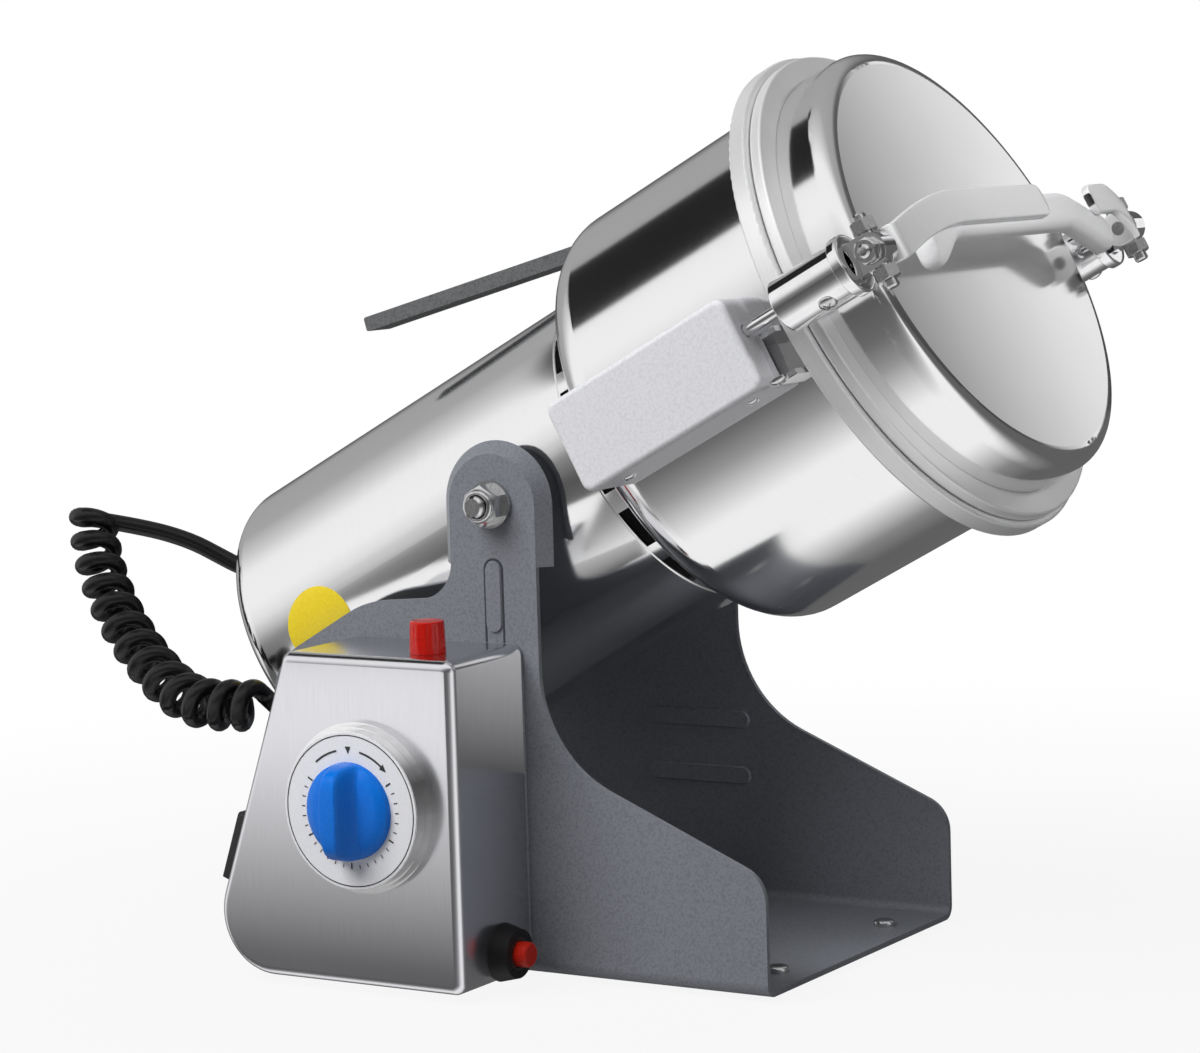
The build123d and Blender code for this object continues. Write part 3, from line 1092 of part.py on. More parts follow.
def strap(end, bow, low, high):
    """Bent strap from the near hinge ear to an end, which leans up to two edges by the reach of its bow."""
    ear_low = LATCH_RISE - ARM_EAR_RADIUS
    ear_high = LATCH_RISE + ARM_EAR_RADIUS
    with BuildPart() as piece:
        side_view = outline(
            (EAR_OUTER, EAR_FOOT), (EAR_OUTER, ARM_BOTTOM + ARM_THICKNESS, ARM_BEND),
            (end, ARM_BOTTOM + ARM_THICKNESS), (end, ARM_BOTTOM),
            (EAR_INNER, ARM_BOTTOM, ARM_BEND - ARM_THICKNESS), (EAR_INNER, EAR_FOOT),
            plane=BAND,
        )
        extrude(side_view, amount=2 * RING_RADIUS, both=True)
        top_view = outline(
            (ear_low, EAR_OUTER), (ear_high, EAR_OUTER), (high, bow, ARM_EAR_RADIUS),
            (high, end, ARM_CORNER), (low, end, ARM_CORNER), (low, bow, ARM_EAR_RADIUS),
            plane=ACROSS.offset(LID_TOP),
        )
        extrude(top_view, amount=LID_TOP, mode=Mode.INTERSECT)
        with BuildSketch(NEAR_SIDE):
            with Locations((EAR_FOOT, LATCH_RISE)):
                Rectangle(2 * ARM_EAR_RADIUS, 4 * ARM_EAR_RADIUS)
            with Locations(HINGE_PLACE):
                Circle(ARM_EAR_RADIUS, mode=Mode.SUBTRACT)
                Circle(EAR_HOLE)
        extrude(amount=2 * EAR_OUTER, mode=Mode.SUBTRACT)
    return piece


handle_arm = strap(ARM_END, BOW_REACH, ARM_LOW_EDGE, ARM_HIGH_EDGE)
keep(handle_arm, "handle_arm")

with BuildPart() as handle_clip:
    near_clip = strap(CLIP_END, CLIP_BOW, CLIP_LOW_EDGE, CLIP_HIGH_EDGE)
    add(near_clip.part.mirror(Plane.XZ))
keep(handle_clip, "handle_clip")

FOOT_LOW = GRIP_LOW_EDGE - GRIP_FOOT_DROP
FOOT_HIGH = GRIP_HIGH_EDGE - GRIP_SHOULDER_DROP
GRIP_NEAR_REACH = EAR_INNER - GRIP_NEAR_GAP
GRIP_FAR_REACH = EAR_INNER - GRIP_FAR_GAP
NEAR_BOW = GRIP_NEAR_REACH - GRIP_FOOT_RUN
FAR_BOW = GRIP_FAR_REACH - GRIP_FOOT_RUN
with BuildPart() as handle_grip:
    grip_view = outline(
        (FOOT_LOW, GRIP_NEAR_REACH, GRIP_CORNER), (FOOT_HIGH, GRIP_NEAR_REACH, GRIP_CORNER),
        (GRIP_HIGH_EDGE, NEAR_BOW, GRIP_BOW_RADIUS), (GRIP_HIGH_EDGE, -FAR_BOW, GRIP_BOW_RADIUS),
        (FOOT_HIGH, -GRIP_FAR_REACH, GRIP_CORNER), (FOOT_LOW, -GRIP_FAR_REACH, GRIP_CORNER),
        (GRIP_LOW_EDGE, -FAR_BOW, GRIP_BOW_RADIUS), (GRIP_LOW_EDGE, NEAR_BOW, GRIP_BOW_RADIUS),
        plane=ACROSS.offset(ARM_BOTTOM - GRIP_THICKNESS),
    )
    extrude(grip_view, amount=GRIP_THICKNESS)
    fillet(handle_grip.edges().group_by(HEAD_AXIS)[0], radius=GRIP_EDGE)
keep(handle_grip, "handle_grip")

# Interlock pin in the near sleeve
COLLAR_START_S = SLEEVE_BOTTOM + SLEEVE_FLOOR + PIN_TRAVEL
with BuildPart() as interlock_pin:
    pin_foot = ACROSS.offset(PIN_BOTTOM)
    extrude(disc(PIN_DIAMETER / 2, pin_foot, SLEEVE_PLACES[0]), amount=PIN_TOP - PIN_BOTTOM)
    extrude(disc(PIN_COLLAR / 2, ACROSS.offset(COLLAR_START_S), SLEEVE_PLACES[0]), amount=PIN_COLLAR_HEIGHT)
keep(interlock_pin, "interlock_pin")

# Curly cord from the barrel's gland to the box
GLAND_TIP = GLAND_BASE + GLAND_DIR * GLAND_LENGTH
BOX_GLAND_FACE = BOX_GLAND_PLANE.offset(BOX_GLAND_LENGTH)
with BuildPart() as box_gland:
    extrude(disc(BOX_GLAND_RADIUS, BOX_GLAND_PLANE), amount=BOX_GLAND_LENGTH)
    extrude(disc(GLAND_NECK, BOX_GLAND_PLANE), amount=-2 * BOX_WALL)
keep(box_gland, "box_gland")


def middle_of(start, end):
    """Point half way between two points."""
    return (Vector(*start) + Vector(*end)) * 0.5


def biarc(start, start_dir, end, end_dir):
    """Two tangent arcs from one point and direction to another."""
    chord = end - start
    along = chord.dot(start_dir + end_dir)
    spread = 2 * (1 - start_dir.dot(end_dir))
    reach = (sqrt(along**2 + spread * chord.dot(chord)) - along) / spread
    first = start + start_dir * reach
    last = end - end_dir * reach
    joint = (first + last) * 0.5
    TangentArc(start, joint, tangent=start_dir)
    TangentArc(joint, end, tangent=last - first)


# The coil's axis touches each leg of its route half way along it
with BuildLine() as coil_axis:
    leg_middles = [middle_of(*leg) for leg in zip(COIL_ROUTE[1:-2], COIL_ROUTE[2:-1])]
    leg_ends = [COIL_ROUTE[0], *leg_middles, COIL_ROUTE[-1]]
    for start, corner, end in zip(leg_ends[:-1], COIL_ROUTE[1:-1], leg_ends[1:]):
        Bezier(start, corner, end)
AXIS_WIRE = coil_axis.wire()
CURL_PITCH = AXIS_WIRE.length / CURL_COUNT


def curl_point(turns):
    """Point of the curls after a number of turns."""
    share = min(max(turns / CURL_COUNT, 0), 1)
    centre = AXIS_WIRE.position_at(share)
    forward = AXIS_WIRE.tangent_at(share)
    side = Vector(*CURL_SIDE)
    across = (side - forward * side.dot(forward)).normalized()
    angle = 2 * pi * turns + radians(CURL_START)
    overrun = (turns - share * CURL_COUNT) * CURL_PITCH
    outward = across * cos(angle) + forward.cross(across) * sin(angle)
    return centre + forward * overrun + outward * CURL_RADIUS


def curl_direction(turns):
    """Direction of the curls after a number of turns."""
    return (curl_point(turns + CURL_STEP) - curl_point(turns - CURL_STEP)).normalized()


COIL_START = curl_point(0)
COIL_START_DIR = curl_direction(0)
COIL_ENTRY = COIL_START - COIL_START_DIR * CORD_DIAMETER
STUB_START = BOX_GLAND_FACE.origin + BOX_GLAND_FACE.z_dir * CORD_DIAMETER
with BuildPart() as cord_coil:
    with BuildLine() as coil_path:
        Line(COIL_ENTRY, COIL_START)
        for half_turn in range(2 * CURL_COUNT):
            start, end = half_turn / 2, (half_turn + 1) / 2
            biarc(curl_point(start), curl_direction(start), curl_point(end), curl_direction(end))
        biarc(curl_point(CURL_COUNT), curl_direction(CURL_COUNT), STUB_START, BOX_GLAND_FACE.z_dir * -1)
        Line(STUB_START, BOX_GLAND_FACE.origin)
    with BuildSketch(Plane(COIL_ENTRY, z_dir=COIL_START_DIR)):
        Circle(CORD_DIAMETER / 2)
    sweep(path=coil_path.wire())
keep(cord_coil, "cord_coil")

with BuildPart() as cord_lead:
    lead_points = [
        GLAND_TIP, GLAND_TIP + GLAND_DIR * LEAD_STUB, *[Vector(*point) for point in LEAD_ROUTE],
        COIL_ENTRY - COIL_START_DIR * LEAD_STUB, COIL_ENTRY,
    ]
    lead_runs = [end - start for start, end in zip(lead_points[:-1], lead_points[1:])]
    lead_radii = [
        LEAD_ARC_SHARE * min(before.length, after.length) / tan(radians(before.get_angle(after) / 2))
        for before, after in zip(lead_runs[:-1], lead_runs[1:])
    ]
    with BuildLine() as lead_path:
        FilletPolyline(*lead_points, radius=lead_radii)
    with BuildSketch(Plane(GLAND_TIP, z_dir=GLAND_DIR)):
        Circle(CORD_DIAMETER / 2)
    sweep(path=lead_path.wire())
keep(cord_lead, "cord_lead")

# Write the pieces out, with the origin under the middle of the rigid ones
rigid = Compound([piece for piece in finished if piece not in (cord_lead.part, cord_coil.part)])
MIDDLE = rigid.bounding_box().center()
print("origin from the pivot", round(MIDDLE.X, 3), round(MIDDLE.Y, 3))
for piece in finished:
    placed = piece.moved(Location((-MIDDLE.X, -MIDDLE.Y, 0)))
    placed.label = piece.label
    export_step(placed, f"parts/{piece.label}.step")

# Figures of the cord: radii, volumes and the least gap between curls
SECTION = pi * (CORD_DIAMETER / 2) ** 2
print("lead radii", [round(radius, 1) for radius in lead_radii])
for tube, path in ((cord_lead, lead_path), (cord_coil, coil_path)):
    expected = SECTION * path.wire().length
    print("cord volume", round(tube.part.volume, 1), "section by length", round(expected, 1))
coil_line = coil_path.wire()
SAMPLE_COUNT = CURL_SAMPLES * (CURL_COUNT + 1)
samples = [coil_line.position_at(number / SAMPLE_COUNT) for number in range(SAMPLE_COUNT + 1)]
NEAREST_SAMPLE = CURL_SAMPLES * 5 // 8
least_gap = min(
    (samples[one] - samples[other]).length
    for one in range(len(samples)) for other in range(one + NEAREST_SAMPLE, len(samples))
)
print("least gap between curls", round(least_gap - CORD_DIAMETER, 2), "pitch", round(CURL_PITCH, 2))
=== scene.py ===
"""Dresses the tilting grinder: finishes for its solids, and the finer pieces that the solids leave out.

Lengths are in millimetres until a mesh is made. The pieces are placed from the floor under the swing pivot,
as the part's source places them, and moved by MIDDLE into the frame's own origin.
"""
import logging
import math
from dataclasses import dataclass, field
from enum import Enum

import bmesh
import bpy
import numpy as np
from mathutils import Matrix


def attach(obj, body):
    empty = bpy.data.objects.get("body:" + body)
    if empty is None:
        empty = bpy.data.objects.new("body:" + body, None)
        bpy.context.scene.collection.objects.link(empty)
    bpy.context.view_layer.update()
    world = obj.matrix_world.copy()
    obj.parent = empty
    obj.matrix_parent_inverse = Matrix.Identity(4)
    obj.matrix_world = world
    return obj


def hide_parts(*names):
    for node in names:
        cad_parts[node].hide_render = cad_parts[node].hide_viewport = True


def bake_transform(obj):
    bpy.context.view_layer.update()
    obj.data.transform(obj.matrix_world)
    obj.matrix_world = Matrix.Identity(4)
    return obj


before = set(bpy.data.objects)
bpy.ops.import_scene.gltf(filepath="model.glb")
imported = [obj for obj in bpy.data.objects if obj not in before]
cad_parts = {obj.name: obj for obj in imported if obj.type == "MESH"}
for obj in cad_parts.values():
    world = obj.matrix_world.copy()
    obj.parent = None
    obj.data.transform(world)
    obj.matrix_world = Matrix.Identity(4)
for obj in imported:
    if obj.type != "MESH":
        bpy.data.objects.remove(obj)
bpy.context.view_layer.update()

LOG = logging.getLogger("grinder")

MM = 0.001
MIDDLE = np.array([21.288, -15.0, 0.0])
PIVOT = np.array([0.0, 0.0, 171.0])
TILT = math.radians(28.3)
AXIS = np.array([math.cos(TILT), 0.0, math.sin(TILT)])
RISE = np.array([-math.sin(TILT), 0.0, math.cos(TILT)])
ACROSS = np.array([0.0, 1.0, 0.0])
UPWARD = np.array([0.0, 0.0, 1.0])
ROUND = 2.0 * math.pi
WHITE = (1.0, 1.0, 1.0, 1.0)

# How many times longer than wide a grain's lines are, and the bounds of the part of a noise that is used.
TURNED_LENGTH = 60.0
BRUSHED_LENGTH = 40.0
NOISE_LOW = 0.3
NOISE_HIGH = 0.7

# Detail of the fine and the broad noise, patches of the broad one in a metre, and settings of bump and coat.
FINE_DETAIL = 4.0
BROAD_DETAIL = 3.0
BROAD_SCALE = 9.0
BUMP_STRENGTH = 0.6
COAT_ROUGHNESS = 0.08

Triple = tuple[float, float, float]
Pair = tuple[float, float]
Profile = tuple[Pair, ...]


class Side(Enum):
    """The two sides of the head, by the sign of Y."""

    NEAR = -1.0
    FAR = 1.0


class Grain(Enum):
    """How a finish breaks up: the fine pattern that its nodes draw."""

    TURNED = "turned"
    BRUSHED = "brushed"
    HAMMERED = "hammered"
    MOULDED = "moulded"
    POLISHED = "polished"


def array_field(*rows: object) -> np.ndarray:
    """Give a dataclass field that starts as an array of some rows."""
    return field(default_factory=lambda: np.array(rows))


def add_object(name: str, data: bpy.types.ID) -> bpy.types.Object:
    """Put an object with its data into the scene."""
    made = bpy.data.objects.new(name, data)
    bpy.context.scene.collection.objects.link(made)
    return made


def new_paint(name: str) -> bpy.types.Material:
    """Make a material that has nodes."""
    paint = bpy.data.materials.new(name)
    paint.use_nodes = True
    return paint


def fill_inputs(tree: bpy.types.NodeTree, node: bpy.types.Node, inputs: dict[str | int, object]) -> None:
    """Fill a node's inputs.

    Args:
        tree: the node's tree.
        node: the node.
        inputs: for each input, by name or place, a socket to link to it or a plain value.
    """
    for name, value in inputs.items():
        if isinstance(value, bpy.types.NodeSocket):
            tree.links.new(value, node.inputs[name])
        else:
            node.inputs[name].default_value = value


def add_node(tree: bpy.types.NodeTree, kind: str, inputs: dict[str | int, object],
             **settings: str) -> bpy.types.Node:
    """Add a shader node to a tree.

    Args:
        tree: the tree.
        kind: the node's type, less the start that all of them share.
        inputs: what its inputs are filled with.
        settings: its own settings, made before the inputs are filled.

    Returns:
        The node.
    """
    node = tree.nodes.new(f"ShaderNode{kind}")
    for name, value in settings.items():
        setattr(node, name, value)
    fill_inputs(tree, node, inputs)
    return node


@dataclass(frozen=True)
class Finish:
    """One surface finish, with its colours as linear values and its grain in millimetres.

    Attributes:
        slot: the record's material slot.
        colour: the main colour.
        shade: the colour that the grain mixes in.
        metallic: 1 for bare metal.
        smooth, rough: the roughness between which broad patches vary.
        grain: the kind of fine pattern.
        size: the width of one grain.
        depth: how far the grain stands up, or nought where it only tints.
        coat: weight of a clear coat.
        clear: weight of light passing through.
        ior: the index of refraction that sets how much a plain surface mirrors.
    """

    slot: str
    colour: Triple
    shade: Triple
    metallic: float = 0.0
    smooth: float = 0.3
    rough: float = 0.4
    grain: Grain = Grain.MOULDED
    size: float = 1.0
    depth: float = 0.05
    coat: float = 0.0
    clear: float = 0.0
    ior: float = 1.45

    def material(self) -> bpy.types.Material:
        """Give the finish's material, made at the first call.

        Returns:
            The Blender material.
        """
        made = bpy.data.materials.get(f"{self.slot}_finish")
        return made if made is not None else self._make()

    def _stretch(self) -> Triple:
        """Give the grain's scale along the turned axes, lines being long across one of them.

        Returns:
            The scale along each axis.
        """
        fine = 1.0 / (self.size * MM)
        if self.grain is Grain.TURNED:
            return fine, fine / TURNED_LENGTH, fine / TURNED_LENGTH
        if self.grain is Grain.BRUSHED:
            return fine, fine, fine / BRUSHED_LENGTH
        return fine, fine, fine

    def _make(self) -> bpy.types.Material:
        """Make the node tree: Object coordinates, turned and stretched, drive colour, roughness and bump.

        Returns:
            The new material.
        """
        made = new_paint(f"{self.slot}_finish")
        tree = made.node_tree
        place = add_node(tree, "TexCoord", {}).outputs["Object"]
        lean = TILT if self.grain is Grain.TURNED else 0.0
        turn = add_node(tree, "Mapping", {"Vector": place, "Rotation": (0.0, lean, 0.0)})
        stretch = add_node(tree, "Mapping", {"Vector": turn.outputs["Vector"], "Scale": self._stretch()})
        fine = {"Vector": stretch.outputs["Vector"], "Scale": 1.0}
        if self.grain is Grain.HAMMERED:
            grain = add_node(tree, "TexVoronoi", fine, feature="SMOOTH_F1").outputs["Distance"]
        else:
            grain = add_node(tree, "TexNoise", {**fine, "Detail": FINE_DETAIL}).outputs["Fac"]
        broad = add_node(tree, "TexNoise", {"Vector": place, "Scale": BROAD_SCALE, "Detail": BROAD_DETAIL})
        used = {"From Min": NOISE_LOW, "From Max": NOISE_HIGH}
        spread = add_node(tree, "MapRange", {**used, "Value": grain})
        tint = add_node(tree, "Mix", {"A": (*self.colour, 1.0), "B": (*self.shade, 1.0),
                                      "Factor": spread.outputs["Result"]}, data_type="RGBA")
        gloss = add_node(tree, "MapRange", {**used, "Value": broad.outputs["Fac"], "To Min": self.smooth,
                                            "To Max": self.rough})
        look = {"Base Color": tint.outputs["Result"], "Roughness": gloss.outputs["Result"],
                "Metallic": self.metallic, "Coat Weight": self.coat, "Coat Roughness": COAT_ROUGHNESS,
                "Transmission Weight": self.clear, "IOR": self.ior}
        if self.depth > 0.0:
            bump = add_node(tree, "Bump", {"Height": grain, "Strength": BUMP_STRENGTH,
                                           "Distance": self.depth * MM})
            look["Normal"] = bump.outputs["Normal"]
        fill_inputs(tree, tree.nodes["Principled BSDF"], look)
        return made


STAINLESS = Finish("stainless", (0.86, 0.86, 0.86), (0.845, 0.845, 0.845), metallic=1.0, smooth=0.10,
                   rough=0.14, grain=Grain.TURNED, size=0.5, depth=0.0)
BOX_STEEL = Finish("box_steel", (0.76, 0.76, 0.79), (0.72, 0.72, 0.75), metallic=1.0, smooth=0.19,
                   rough=0.25, grain=Grain.BRUSHED, size=0.4, depth=0.0)
SATIN_RING = Finish("satin_ring", (0.82, 0.82, 0.82), (0.78, 0.78, 0.79), metallic=0.5, smooth=0.34,
                    rough=0.42, grain=Grain.TURNED, size=0.3, depth=0.005)
SATIN_STRAP = Finish("satin_strap", (0.92, 0.92, 0.93), (0.86, 0.86, 0.87), metallic=0.35, smooth=0.24,
                     rough=0.32, grain=Grain.BRUSHED, size=0.3, depth=0.004)
HAMMERTONE = Finish("hammertone", (0.19, 0.20, 0.225), (0.15, 0.158, 0.18), smooth=0.42, rough=0.5,
                    grain=Grain.HAMMERED, size=0.8, depth=0.03)
HOUSING_PAINT = Finish("housing_paint", (0.68, 0.68, 0.71), (0.61, 0.61, 0.64), smooth=0.42, rough=0.52,
                       grain=Grain.HAMMERED, size=0.9, depth=0.015)
# Painted shade: a near-black finish for the line that stands in for the shade in the groove round the cheek's
# bead.
PAINTED_BEAD_SHADE = Finish("painted_bead_shade", (0.045, 0.048, 0.056), (0.035, 0.037, 0.044), smooth=0.5, rough=0.6,
                      grain=Grain.HAMMERED, size=0.8, depth=0.02)
LEVER_PAINT = Finish("lever_paint", (0.13, 0.135, 0.14), (0.09, 0.092, 0.098), smooth=0.42, rough=0.52,
                     grain=Grain.HAMMERED, size=0.8, depth=0.05)
CHROME = Finish("chrome", (0.86, 0.86, 0.87), (0.80, 0.80, 0.81), metallic=1.0, smooth=0.04, rough=0.08,
                grain=Grain.POLISHED, size=4.0, depth=0.01)
FASTENERS = Finish("fasteners", (0.70, 0.70, 0.70), (0.55, 0.55, 0.56), metallic=1.0, smooth=0.16,
                   rough=0.28, grain=Grain.POLISHED, size=0.8, depth=0.02)
BLADE_STEEL = Finish("blade_steel", (0.66, 0.66, 0.67), (0.56, 0.56, 0.57), metallic=1.0, smooth=0.2,
                     rough=0.3, grain=Grain.BRUSHED, size=0.4, depth=0.01)
RUBBER = Finish("rubber", (0.006, 0.006, 0.007), (0.010, 0.010, 0.011), smooth=0.45, rough=0.6, size=0.6,
                depth=0.04, ior=1.3)
SEAL_RUBBER = Finish("seal_rubber", (0.55, 0.55, 0.53), (0.48, 0.48, 0.46), smooth=0.45, rough=0.6,
                     size=0.8, depth=0.04)
CORD_JACKET = Finish("cord_jacket", (0.006, 0.006, 0.007), (0.011, 0.011, 0.012), smooth=0.24, rough=0.34,
                     size=0.7, depth=0.02, coat=0.1, ior=1.32)
BLACK_PLASTIC = Finish("black_plastic", (0.012, 0.012, 0.013), (0.02, 0.02, 0.022), smooth=0.28, rough=0.4,
                       size=0.5, depth=0.02)
GREY_PLASTIC = Finish("grey_plastic", (0.13, 0.13, 0.14), (0.10, 0.10, 0.11), smooth=0.35, rough=0.5,
                      size=0.6, depth=0.03)
GRIP_PLASTIC = Finish("grip_plastic", (0.82, 0.82, 0.83), (0.76, 0.76, 0.77), smooth=0.28, rough=0.4,
                      size=0.7, depth=0.02)
BLUE_PLASTIC = Finish("blue_plastic", (0.004, 0.155, 0.64), (0.003, 0.13, 0.56), smooth=0.22, rough=0.32,
                      size=1.0, depth=0.004, ior=1.28)
DIAL_WHITE = Finish("dial_white", (0.74, 0.74, 0.76), (0.68, 0.68, 0.70), smooth=0.35, rough=0.45,
                    size=0.6, depth=0.01)
DIAL_INK = Finish("dial_ink", (0.015, 0.015, 0.016), (0.03, 0.03, 0.032), smooth=0.4, rough=0.5, size=0.4,
                  depth=0.005)
RED_LENS = Finish("red_lens", (0.62, 0.012, 0.005), (0.50, 0.008, 0.004), smooth=0.08, rough=0.16,
                  size=1.5, depth=0.01, coat=0.1, clear=0.2, ior=1.35)
RED_PLASTIC = Finish("red_plastic", (0.46, 0.016, 0.006), (0.38, 0.012, 0.005), smooth=0.25, rough=0.36,
                     size=0.6, depth=0.01, ior=1.3)
MOTOR_STEEL = Finish("motor_steel", (0.30, 0.30, 0.31), (0.22, 0.22, 0.23), metallic=1.0, smooth=0.35,
                     rough=0.5, grain=Grain.TURNED, size=0.5, depth=0.02)
COPPER = Finish("copper", (0.72, 0.30, 0.14), (0.60, 0.22, 0.09), metallic=1.0, smooth=0.25, rough=0.4,
                grain=Grain.TURNED, size=0.6, depth=0.03)
CAST_ALUMINIUM = Finish("cast_aluminium", (0.50, 0.50, 0.51), (0.40, 0.40, 0.41), metallic=1.0, smooth=0.4,
                        rough=0.55, grain=Grain.HAMMERED, size=0.9, depth=0.05)
YELLOW_DISC = Finish("yellow_disc", (0.80, 0.62, 0.02), (0.72, 0.54, 0.016), smooth=0.25, rough=0.35,
                     size=1.2, depth=0.01, coat=0.2)

NODE_FINISHES: dict[Finish, tuple[str, ...]] = {
    STAINLESS: ("motor_barrel", "bowl", "lid_shell", "vent_collar"),
    BOX_STEEL: ("control_box",),
    SATIN_RING: ("bowl_ring",),
    HAMMERTONE: ("bracket", "box_back_plate"),
    HOUSING_PAINT: ("switch_housing",),
    LEVER_PAINT: ("swing_lever",),
    CHROME: ("sleeve_saddles", "knuckles", "switch_lug", "timer_bezel", "interlock_pin"),
    FASTENERS: ("foot_screws", "box_screws", "pivot_bosses", "pivot_studs", "pivot_washers", "blade_nut",
                "blade_spacers"),
    BLADE_STEEL: ("lower_blade", "middle_blade", "upper_blade"),
    RUBBER: ("rubber_feet", "breaker_boot", "shaft_seal"),
    SEAL_RUBBER: ("lid_seal",),
    BLACK_PLASTIC: ("rocker_frame", "rocker_paddle", "timer_body", "breaker_body", "brush_holders",
                    "microswitch", "box_gland", "pivot_bushes"),
    GREY_PLASTIC: ("barrel_gland",),
    RED_PLASTIC: ("reset_button",),
    MOTOR_STEEL: ("motor_shaft", "armature", "stator_core", "bearings"),
    COPPER: ("field_coils", "commutator"),
    CAST_ALUMINIUM: ("rear_bearing_plate", "front_bearing_plate", "cooling_fan"),
}


def head_point(s: np.ndarray, y: np.ndarray, n: np.ndarray) -> np.ndarray:
    """Turn distances along the head's axis, across it and up from it into points.

    Args:
        s: along the axis from the pivot.
        y: across, near side negative.
        n: square to both, upwards.

    Returns:
        Points from the floor under the pivot, one more dimension of three.
    """
    s, y, n = np.broadcast_arrays(np.asarray(s, float), np.asarray(y, float), np.asarray(n, float))
    return PIVOT + s[..., None] * AXIS + y[..., None] * ACROSS + n[..., None] * RISE


def in_frame(points: np.ndarray) -> np.ndarray:
    """Move points from the floor under the pivot to the frame's origin, in metres."""
    return (np.asarray(points, float) - MIDDLE) * MM


def placed(right: np.ndarray, upright: np.ndarray, back: np.ndarray, place: np.ndarray | Triple) -> Matrix:
    """Give the matrix of a camera or lamp from its own three axes and its place."""
    matrix = np.eye(4)
    matrix[:3] = np.column_stack([right, upright, back, in_frame(place)])
    return Matrix(matrix.tolist())


def unit_rows(vectors: np.ndarray) -> np.ndarray:
    """Bring each row to a length of one."""
    return vectors / np.linalg.norm(vectors, axis=1)[:, None]


def lengths_along(line: np.ndarray) -> np.ndarray:
    """Give the length of a line of points up to each of them."""
    return np.concatenate([[0.0], np.cumsum(np.linalg.norm(np.diff(line, axis=0), axis=1))])


def around(count: int) -> np.ndarray:
    """Give even angles round a full turn."""
    return np.arange(count) * ROUND / count


def smooth_step(share: np.ndarray) -> np.ndarray:
    """Ease shares between nought and one: three times the square less twice the cube."""
    return share * share * (3.0 - 2.0 * share)


@dataclass
class Surface:
    """A mesh in the making: points in millimetres and faces of four corners."""

    points: np.ndarray
    faces: np.ndarray

    @staticmethod
    def from_grid(points: np.ndarray, wrap_columns: bool = False) -> "Surface":
        """Join the points of a grid by four-cornered faces.

        Args:
            points: rows by columns by three.
            wrap_columns: whether the last column joins the first.

        Returns:
            The surface.
        """
        rows, columns = points.shape[:2]
        last = columns if wrap_columns else columns - 1
        a, b = np.meshgrid(np.arange(rows - 1), np.arange(last), indexing="ij")
        after, beside = a + 1, (b + 1) % columns
        corners = (a * columns + b, a * columns + beside, after * columns + beside, after * columns + b)
        return Surface(points.reshape(-1, 3), np.stack(corners, axis=-1).reshape(-1, 4))

    @staticmethod
    def together(surfaces: list["Surface"]) -> "Surface":
        """Put several surfaces into one.

        Args:
            surfaces: the surfaces.

        Returns:
            One surface with all their points and faces.
        """
        starts = np.cumsum([0] + [len(each.points) for each in surfaces[:-1]])
        faces = [each.faces + start for each, start in zip(surfaces, starts)]
        return Surface(np.concatenate([each.points for each in surfaces]), np.concatenate(faces))

    def piece(self, name: str, body: str | None, finish: Finish, crease: float = 38.0) -> bpy.types.Object:
        """Make the Blender object, closed at its poles, with faces outwards and edges crisp past an angle.

        Args:
            name: the object's name.
            body: the body that it rides on, or None for a piece that runs between two bodies and is attached
                to neither.
            finish: its finish.
            crease: the angle in degrees past which an edge is sharp.

        Returns:
            The object, at the origin.
        """
        mesh = bpy.data.meshes.new(name)
        mesh.from_pydata(in_frame(self.points).tolist(), [], self.faces.tolist())
        work = bmesh.new()
        work.from_mesh(mesh)
        bmesh.ops.remove_doubles(work, verts=work.verts, dist=1e-6)
        bmesh.ops.dissolve_degenerate(work, edges=work.edges, dist=1e-7)
        bmesh.ops.recalc_face_normals(work, faces=work.faces)
        work.to_mesh(mesh)
        work.free()
        mesh.shade_smooth()
        mesh.set_sharp_from_angle(angle=math.radians(crease))
        mesh.materials.append(finish.material())
        made = add_object(name, mesh)
        if body is not None:
            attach(made, body)
        LOG.info("%s on %s: %d points", name, body or "two bodies", len(mesh.vertices))
        return made


def spokes(axis: np.ndarray, angle: np.ndarray) -> np.ndarray:
    """Give the directions square to an axis at some angles round it.

    Args:
        axis: a unit vector.
        angle: angles from the direction that is as near to upwards as it can be.

    Returns:
        Unit vectors, one more dimension of three.
    """
    guide = UPWARD if abs(axis[2]) < 0.9 else ACROSS
    first = guide - axis * (guide @ axis)
    first = first / np.linalg.norm(first)
    return np.cos(angle)[..., None] * first + np.sin(angle)[..., None] * np.cross(axis, first)


def rounded(corners: np.ndarray, radii: np.ndarray, steps: int = 6) -> np.ndarray:
    """Round the inner corners of a line in the plane.

    Each corner gives way to a quadratic curve between the points at its radius times the tangent of half the
    turn from it, which is close to an arc for the turns met here.

    Args:
        corners: the line's points, two columns.
        radii: one radius for each inner corner.
        steps: points on each rounding, less one.

    Returns:
        The rounded line, two columns.
    """
    corners = np.asarray(corners, float)
    back, ahead = unit_rows(corners[:-2] - corners[1:-1]), unit_rows(corners[2:] - corners[1:-1])
    half = 0.5 * np.arccos(np.clip((back * ahead).sum(1), -1.0, 1.0))
    reach = (np.asarray(radii, float) / np.tan(half))[:, None]
    start, end = corners[1:-1] + back * reach, corners[1:-1] + ahead * reach
    t = np.linspace(0.0, 1.0, steps + 1)[None, :, None]
    bends = (1 - t) ** 2 * start[:, None] + 2 * t * (1 - t) * corners[1:-1, None] + t ** 2 * end[:, None]
    return np.concatenate([corners[:1], bends.reshape(-1, 2), corners[-1:]])


